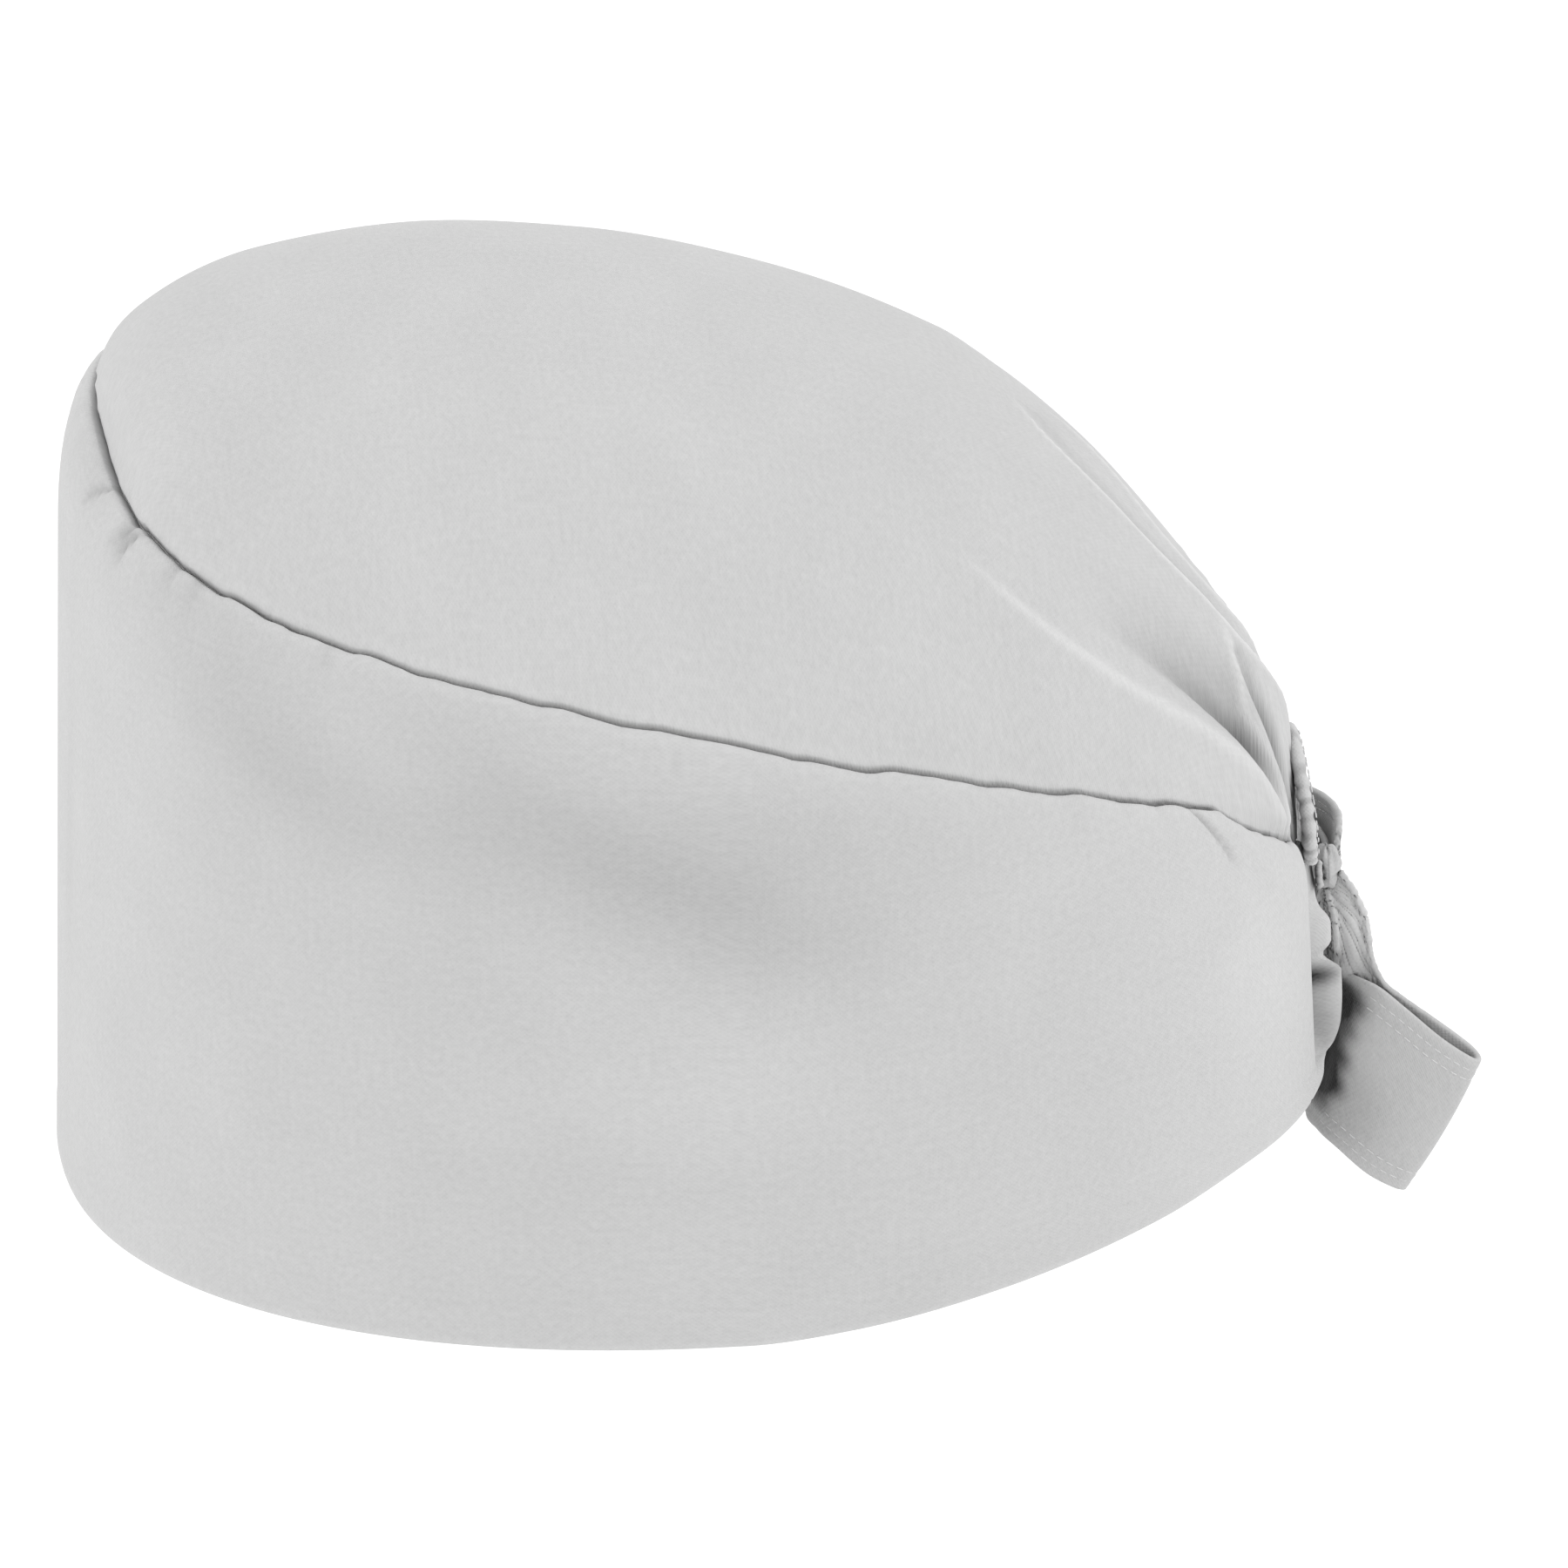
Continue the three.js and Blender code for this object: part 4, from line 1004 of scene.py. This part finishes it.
LOOP_RIGHT = table(
    SECTION,
    ((-1.4, 120.6, 50.0), (-1.6, 120.4, 46.0), -0.2, 0.3),
    ((-3.8, 121.3, 54.4), (-4.8, 119.4, 42.0), -0.1, 0.3),
    ((-9.0, 121.1, 54.5), (-10.6, 119.8, 36.4), -0.3, 0.3),
    ((-17.0, 119.8, 53.0), (-19.0, 120.4, 28.6), -0.4, 0.3),
    ((-28.0, 117.0, 49.8), (-30.0, 118.6, 23.2), -0.8, 0.0),
    ((-39.0, 112.6, 46.8), (-41.0, 114.0, 19.8), 0.0, 0.0),
    ((-42.6, 110.4, 46.0), (-44.6, 111.8, 19.0), 0.0, 0.0),
    ((-41.0, 108.4, 46.0), (-43.4, 110.0, 19.0), 0.0, 0.0),
    ((-33.0, 110.8, 47.2), (-34.6, 112.6, 21.2), -0.4, 0.0),
    ((-23.0, 114.4, 48.4), (-24.0, 116.2, 25.0), -0.4, 0.2),
    ((-14.6, 117.4, 49.0), (-15.0, 118.2, 31.0), -0.2, 0.2),
    ((-8.0, 118.8, 48.8), (-8.2, 118.5, 38.6), -0.1, 0.2),
    ((-2.2, 118.8, 48.4), (-2.2, 118.6, 44.6), 0.0, 0.2),
)
TAIL_RIGHT = table(
    SECTION,
    ((-2.0, 118.2, 45.2), (0.2, 118.6, 44.4), 0.2, 0.3),
    ((-3.8, 118.4, 38.6), (-0.8, 118.8, 37.6), 0.4, 0.5),
    ((-9.2, 120.4, 31.4), (-0.8, 120.8, 29.0), 0.5, 0.6),
    ((-17.6, 120.8, 22.6), (-1.4, 121.0, 18.0), 0.4, 0.4),
    ((-24.8, 120.6, 12.6), (-2.6, 121.2, 6.4), 0.3, 0.1),
    ((-29.4, 120.2, 3.0), (-4.0, 121.2, -4.8), 0.2, 0.0),
)
TAIL_LEFT = table(
    SECTION,
    ((0.4, 119.6, 45.0), (0.0, 120.8, 44.8), -0.3, 0.3),
    ((-0.2, 121.6, 38.0), (-0.6, 123.6, 37.0), -1.6, 0.4),
    ((-0.8, 122.8, 28.6), (-1.2, 126.2, 27.4), -4.6, 0.5),
    ((-0.8, 123.0, 16.6), (-1.6, 127.6, 15.0), -7.4, 0.4),
    ((-0.8, 123.2, 5.2), (-2.0, 128.6, 3.2), -9.0, 0.2),
)
TIE_LEFT = table(
    SECTION,
    ((10.6, 115.9, 53.0), (10.2, 116.2, 48.0), 0.2, 0.2),
    ((7.6, 116.1, 51.4), (7.4, 116.3, 46.4), 0.2, 0.2),
    ((3.4, 116.8, 49.6), (3.2, 117.0, 45.8), 0.2, 0.2),
)
KNOT = {"place": (0.8, 118.4, 47.4), "half": (4.4, 2.8, 4.0)}


# %% A ribbon's grid from its sections
# Even pleats across the ribbon, and slanting creases of two sizes, as shares of the pleat's depth.
PLEAT = 0.3
SLANT = {"across": 3.1, "along": 1.1, "big": 0.16, "small": 0.09, "beat": 2.3}


def ribbon_grid(rows, along, across, pleats=1.5):
    at = np.linspace(0, 1, along + 1)
    a = through([row["a"] for row in rows], at)
    b = through([row["b"] for row in rows], at)
    bow = through([row["bow"] for row in rows], at)
    pleat = through([row["pleat"] for row in rows], at)
    ahead = np.gradient(a + b, axis=0)
    normal = np.cross(ahead, b - a)
    normal /= np.linalg.norm(normal, axis=1, keepdims=True)
    w = np.linspace(0, 1, across + 1)[None, :]
    flat = a[:, None] + (b - a)[:, None] * w[..., None]
    wave = PLEAT * np.sin(2 * np.pi * pleats * w)
    slant = 2 * np.pi * (SLANT["across"] * w + SLANT["along"] * at[:, None] * len(rows))
    wave = wave + SLANT["big"] * np.sin(slant) + SLANT["small"] * np.sin(SLANT["beat"] * slant + 1.0)
    wave = wave * pleat
    raised = bow * 4 * w * (1 - w) + wave
    return flat + normal[:, None] * raised[..., None]


# %% [markdown]
# Stitches are short rods of thread. A picture of stitches would be quicker, but
# rods cast their own small shadows and stay sharp from close by.

# %% Thread
def stitches(name, runs, material, length=1.6, gap=0.6, radius=0.11):
    """Short rods of thread along paths, each run a list of points in millimetres."""
    points, faces = [], []
    profile = ((-0.5, 0.35), (-0.36, 0.9), (0.0, 1.0), (0.36, 0.9), (0.5, 0.35))
    sides = 5
    for path in runs:
        step = np.linalg.norm(np.diff(path, axis=0), axis=1)
        total = np.concatenate([[0], np.cumsum(step)])
        for start in np.arange(gap, total[-1] - length, length + gap):
            ends = [np.array([np.interp(s, total, path[:, k]) for k in range(3)])
                    for s in (start, start + length)]
            axis = ends[1] - ends[0]
            size = np.linalg.norm(axis)
            if size < 0.3:
                continue
            axis /= size
            one = np.cross(axis, (0.31, 0.52, 0.79))
            one /= np.linalg.norm(one)
            two = np.cross(axis, one)
            first = len(points)
            for place, wide in profile:
                centre = (ends[0] + ends[1]) / 2 + axis * place * size
                for k in range(sides):
                    angle = 2 * math.pi * k / sides
                    around = one * math.cos(angle) + two * math.sin(angle)
                    points.append(centre + around * radius * wide)
            for ring in range(len(profile) - 1):
                for k in range(sides):
                    a, b = first + ring * sides + k, first + ring * sides + (k + 1) % sides
                    faces.append((a, b, b + sides, a + sides))
            last = first + sides * (len(profile) - 1)
            faces.append(tuple(first + k for k in range(sides))[::-1])
            faces.append(tuple(last + k for k in range(sides)))
    points = np.array(points)
    return finish_mesh(name, points, faces, points[:, :2], np.zeros(len(points)), material)


# %% Sew the ribbons
# Where the left loop tucks in behind the band's hem it gets hardly any light, so shade is painted there; a
# dark below 0, on the strap above, is painted light.
RECESS = table(
    "y z reach dark",
    (121.4, 22.8, 3.5, 16.0), (119.4, 18.0, 3.6, 16.0), (118.4, 12.5, 3.4, 16.0), (117.4, 7.4, 3.2, 16.0),
    (115.4, 3.4, 2.8, 13.0), (119.2, 30.0, 2.0, 6.0), (119.0, 4.0, 8.5, 2.2), (123.0, 38.5, 6.5, -3.2),
)
RECESS_SHARP = 4
# Along the ribbon's edges, as shares of its width.
HEM_LINES = (0.07, 0.135)
STITCH_GROOVE, STITCH_GROOVE_HALF = 0.1, 0.018
HEM_FOLD, HEM_FOLD_STEP = 0.12, 0.05
# The width of the highlight painted along the ribbon's edges, as a share of its width.
EDGE_HIGHLIGHT = 0.03
STITCH_PROUD = 0.04
ribbon_runs = []


def make_ribbon(name, rows, along, across=60, pleats=1.5, sewn=(0.0, 1.0), recess=()):
    grid = ribbon_grid(rows, along, across, pleats)
    w = np.linspace(0, 1, across + 1)[None, :]
    near = np.minimum(w, 1 - w)
    thick = RIBBON + HEM_FOLD * ease((HEM_LINES[1] - near) / HEM_FOLD_STEP)
    for line in HEM_LINES:
        thick = thick - 2 * STITCH_GROOVE * bell((near - line) / STITCH_GROOVE_HALF)
    thick = np.broadcast_to(thick, grid.shape[:2])
    way = np.stack([lengths(grid, 1), lengths(grid, 0)], -1)
    # Painted highlight along the edges, painted shade in the recesses, and painted light where a recess's
    # dark is below 0.
    edge = np.broadcast_to(bell(near / EDGE_HIGHLIGHT), grid.shape[:2])
    for spot in recess:
        away = np.hypot(grid[..., 1] - spot["y"], grid[..., 2] - spot["z"])
        edge = edge - spot["dark"] * np.exp(-((away / spot["reach"]) ** RECESS_SHARP))
    normal = grid_normals(grid, False)
    first, last = int(sewn[0] * along), int(sewn[1] * along)
    for line in (*HEM_LINES, *(1 - np.array(HEM_LINES))):
        row = int(round(line * across))
        for side in (1, -1):
            shift = side * normal[first:last + 1, row] * (RIBBON / 2 - STITCH_GROOVE + STITCH_PROUD)
            ribbon_runs.append(grid[first:last + 1, row] + shift)
    return cloth(name, grid, way, edge, thick, tie_cotton, middle=True)


def mirrored(rows):
    """The same sections on the other side of the knot."""
    across = 2 * KNOT["place"][0] - 2
    other = [{edge: (across - row[edge][0], *row[edge][1:]) for edge in "ab"} for row in rows]
    return [{**row, **edges} for row, edges in zip(rows, other)]


loop_left = make_ribbon("loop_left", LOOP_LEFT, 200, sewn=(0.36, 0.76), recess=RECESS)
loop_right = make_ribbon("loop_right", LOOP_RIGHT, 150, sewn=(0.2, 0.82))
tail_left = make_ribbon("tail_left", TAIL_LEFT, 60, sewn=(0.5, 1.0))
tail_right = make_ribbon("tail_right", TAIL_RIGHT, 60, sewn=(0.5, 1.0))
tie_left = make_ribbon("tie_left_cloth", TIE_LEFT, 30, 24)
tie_right = make_ribbon("tie_right_cloth", mirrored(TIE_LEFT), 30, 24)
ribbon_stitches = stitches("ribbon_stitches", ribbon_runs, thread)
print("ribbon stitches:", len(ribbon_stitches.data.polygons) // 22)

# %% [markdown]
# ## The knot and the casing
#
# The knot is the ribbon wrapped once round itself: a small pad with lengthwise
# pleats and a slanting crease. The casing is a narrow tunnel of cloth, bunched
# on the ribbon inside it, so it is a flat roll with close, uneven ribs.


# %% Closed tubes from rings of points
# Once round a tube, on the flat cloth.
AROUND = 12.0


def tube(name, rings, material, edge=0.0):
    count, around = rings.shape[:2]
    number = np.arange(count * around).reshape(count, around)
    after = np.roll(number, -1, 1)
    quads = np.stack([number[:-1], after[:-1], after[1:], number[1:]], -1).reshape(-1, 4)
    faces = quads.tolist() + [number[0][::-1].tolist(), number[-1].tolist()]
    points = rings.reshape(-1, 3)
    along = lengths(rings, 0)
    turn = np.broadcast_to(np.arange(around) / around, (count, around))
    way = np.stack([turn * AROUND, along], -1).reshape(-1, 2)
    edge = np.broadcast_to(edge, (count, around)).reshape(-1)
    return finish_mesh(name, points, faces, way, edge, material)


# %% Tie the knot
KNOT_STEPS, KNOT_AROUND = 56, 96
KNOT_LEAN, KNOT_ROUND = 1.5, 0.8
KNOT_SLANT = {"along": 1.6, "across": 0.5}
KNOT_CREASES = table("at deep wide", (0.0, 0.8, 0.3), (0.9, 0.3, 0.2))
KNOT_PLEATS = table("count high lean", (5, 0.18, 2.4), (9, 0.07, -2.0))


def make_knot():
    lean = np.linspace(-KNOT_LEAN, KNOT_LEAN, KNOT_STEPS)[:, None]
    angle = np.linspace(0, 2 * np.pi, KNOT_AROUND, endpoint=False)[None, :]
    slant = np.sin(lean) * KNOT_SLANT["along"] + KNOT_SLANT["across"] * np.cos(angle)
    groove = sum(row["deep"] * bell((slant - row["at"]) / row["wide"]) for row in KNOT_CREASES)
    rib = sum(row["high"] * np.cos(row["count"] * angle + row["lean"] * lean) for row in KNOT_PLEATS)
    half = [size - groove + rib for size in KNOT["half"]]
    level = np.cos(lean) ** KNOT_ROUND
    x = KNOT["place"][0] + half[0] * level * np.cos(angle)
    y = KNOT["place"][1] + half[1] * level * np.sin(angle)
    z = KNOT["place"][2] + half[2] * np.sin(lean) * np.ones_like(angle)
    return tube("knot_cloth", np.stack([x, y, z], -1), tie_cotton)


knot = make_knot()
print("knot:", len(knot.data.polygons), "faces")

# %% Gather the casing
CASING_PATH = (
    (9.6, 114.2, 53.4), (9.4, 114.0, 60.4), (6.2, 113.0, 68.4), (0.0, 112.3, 73.0),
    (-6.2, 113.0, 68.4), (-9.4, 114.0, 60.4), (-9.6, 114.2, 53.4),
)
CASING = {"across": 3.0, "thick": 1.3, "ribs": 17, "rib": 0.24, "dark": 4.0, "square": 0.85}
CASING_STEPS, CASING_AROUND = 300, 40
CASING_OUTWARD = (0, 1, 0.25)
# The ribs come unevenly: their beat sways slowly, quickly, and from face to face.
CASING_SWAYS = table("quick far", (7, 0.5), (23, 0.3))
FACE_SWAY = 0.16
# The two rows of stitches, as a share of the width and proud of the cloth.
CASING_SEWN = {"across": 0.35, "proud": 0.25}


def make_casing():
    at = np.linspace(0, 1, CASING_STEPS + 1)
    path = through(CASING_PATH, at)
    ahead = np.gradient(path, axis=0)
    ahead /= np.linalg.norm(ahead, axis=1, keepdims=True)
    across = np.cross(ahead, np.array(CASING_OUTWARD))
    across /= np.linalg.norm(across, axis=1, keepdims=True)
    depth = np.cross(across, ahead)
    angle = np.linspace(0, 2 * np.pi, CASING_AROUND, endpoint=False)[None, :]
    beat = CASING["ribs"] * at[:, None]
    for sway in CASING_SWAYS:
        beat = beat + sway["far"] * np.sin(sway["quick"] * at[:, None])
    beat = beat + FACE_SWAY * np.cos(angle)
    rib = CASING["rib"] * (0.8 * np.cos(2 * np.pi * beat) + 0.5 * np.cos(1.3 * np.pi * beat + angle))
    wide = (CASING["across"] + rib) * power(np.cos(angle), CASING["square"])
    deep = (CASING["thick"] + 0.7 * rib) * power(np.sin(angle), CASING["square"])
    rings = path[:, None] + across[:, None] * wide[..., None] + depth[:, None] * deep[..., None]
    apart = across * (CASING["across"] * CASING_SEWN["across"])
    proud = depth * (CASING["thick"] + CASING_SEWN["proud"])
    line = path + apart + proud
    other = path - apart + proud
    # Shade painted into the hollows between the ribs, and a faint highlight on their tops.
    shade = CASING["dark"] * np.clip(rib / CASING["rib"], -1, 0.1)
    return tube("casing_ruffle", rings, cap_cotton, shade), (line, other)


casing, casing_runs = make_casing()
casing_stitches = stitches("casing_stitches", casing_runs, thread, length=1.0, gap=1.4, radius=0.15)
print("casing:", len(casing.data.polygons), "faces")

# %% [markdown]
# ## Deep folds
#
# Inside a tight fold the light reaches the cloth only by way of other cloth, so
# shade is painted into its colour there. To find those places we send a few rays
# out from each point and count how many meet cloth close by. The share is stored
# as `cloth_deep`. It could be worked out while rendering, but stored values look
# the same in every program.

# %% Store how deep each point lies
RAYS = 22
RAY_REACH = 13.0 * MM
RAY_START = 0.25 * MM
DEEP_FROM, DEEP_TO = 0.56, 0.93


def ray_fan():
    """Directions spread over a half sphere, closer together round its pole."""
    k = np.arange(RAYS) + 0.5
    height = np.sqrt(1 - k / RAYS)
    angle = k * math.pi * (3 - math.sqrt(5))
    flat = np.sqrt(1 - height**2)
    return np.stack([flat * np.cos(angle), flat * np.sin(angle), height], 1)


def store_depth(pieces, chosen):
    fan = ray_fan()
    points, faces = [], []
    for piece in pieces:
        mesh = piece.data
        first = len(points)
        points += [vertex.co for vertex in mesh.vertices]
        faces += [[first + k for k in face.vertices] for face in mesh.polygons]
    tree = BVHTree.FromPolygons(points, faces)
    for piece in pieces:
        mesh = piece.data
        deep = np.zeros(len(mesh.vertices), np.float32)
        for i, vertex in enumerate(mesh.vertices):
            if not chosen(piece, vertex.co):
                continue
            normal = np.array(vertex.normal)
            one = np.cross(normal, (0.36, 0.48, 0.8))
            one /= np.linalg.norm(one)
            two = np.cross(normal, one)
            start = vertex.co + vertex.normal * RAY_START
            rays = fan[:, :1] * one + fan[:, 1:2] * two + fan[:, 2:] * normal
            blocked = sum(tree.ray_cast(start, ray, RAY_REACH)[0] is not None for ray in rays)
            deep[i] = blocked / RAYS
        deep = ease((deep - DEEP_FROM) / (DEEP_TO - DEEP_FROM))
        mesh.attributes.new("cloth_deep", "FLOAT", "POINT").data.foreach_set("value", deep.astype(np.float32))
        print(piece.name, "deep points:", int((deep > 0.5).sum()))


GATHER_FROM = 0.07


def near_gather(piece, place):
    """The ties, and the band and crown where they run into the gather."""
    if piece in (casing, loop_right):
        return False
    return piece not in (band, crown) or place.y > GATHER_FROM


cloth_pieces = [band, crown, casing, knot, tie_left, tie_right, loop_left, loop_right, tail_left, tail_right]
store_depth(cloth_pieces, near_gather)

# %% [markdown]
# ## Fitting the pieces to the frame
#
# Each cloth piece takes the place of its plain solid and moves with the cap's
# one body. The cap has no joint: cloth and ties bend, and nothing turns.

# %% Ride and replace
CAP_PIECES = {"side_band": band, "crown": crown, "back_casing": casing}
TIE_PIECES = {
    "tie_knot": knot, "tie_left": tie_left, "tie_right": tie_right, "bow_loop_left": loop_left,
    "bow_loop_right": loop_right, "tie_tail_left": tail_left, "tie_tail_right": tail_right,
}
for slot, pieces in (("cap_cloth", CAP_PIECES), ("tie_cloth", TIE_PIECES)):
    for node, piece in pieces.items():
        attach(piece, "root")
        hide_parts(node)
for piece, slot in ((ribbon_stitches, "tie_cloth"), (casing_stitches, "cap_cloth")):
    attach(piece, "root")
print("pieces:", len(CAP_PIECES) + len(TIE_PIECES) + 2)

# %% [markdown]
# ## Flat sizes
#
# A sheet of cloth has the size it was cut to. The band is a long strip that is
# tallest at the forehead, the crown is an oval, and each stretch of ribbon is
# 28 mm wide.
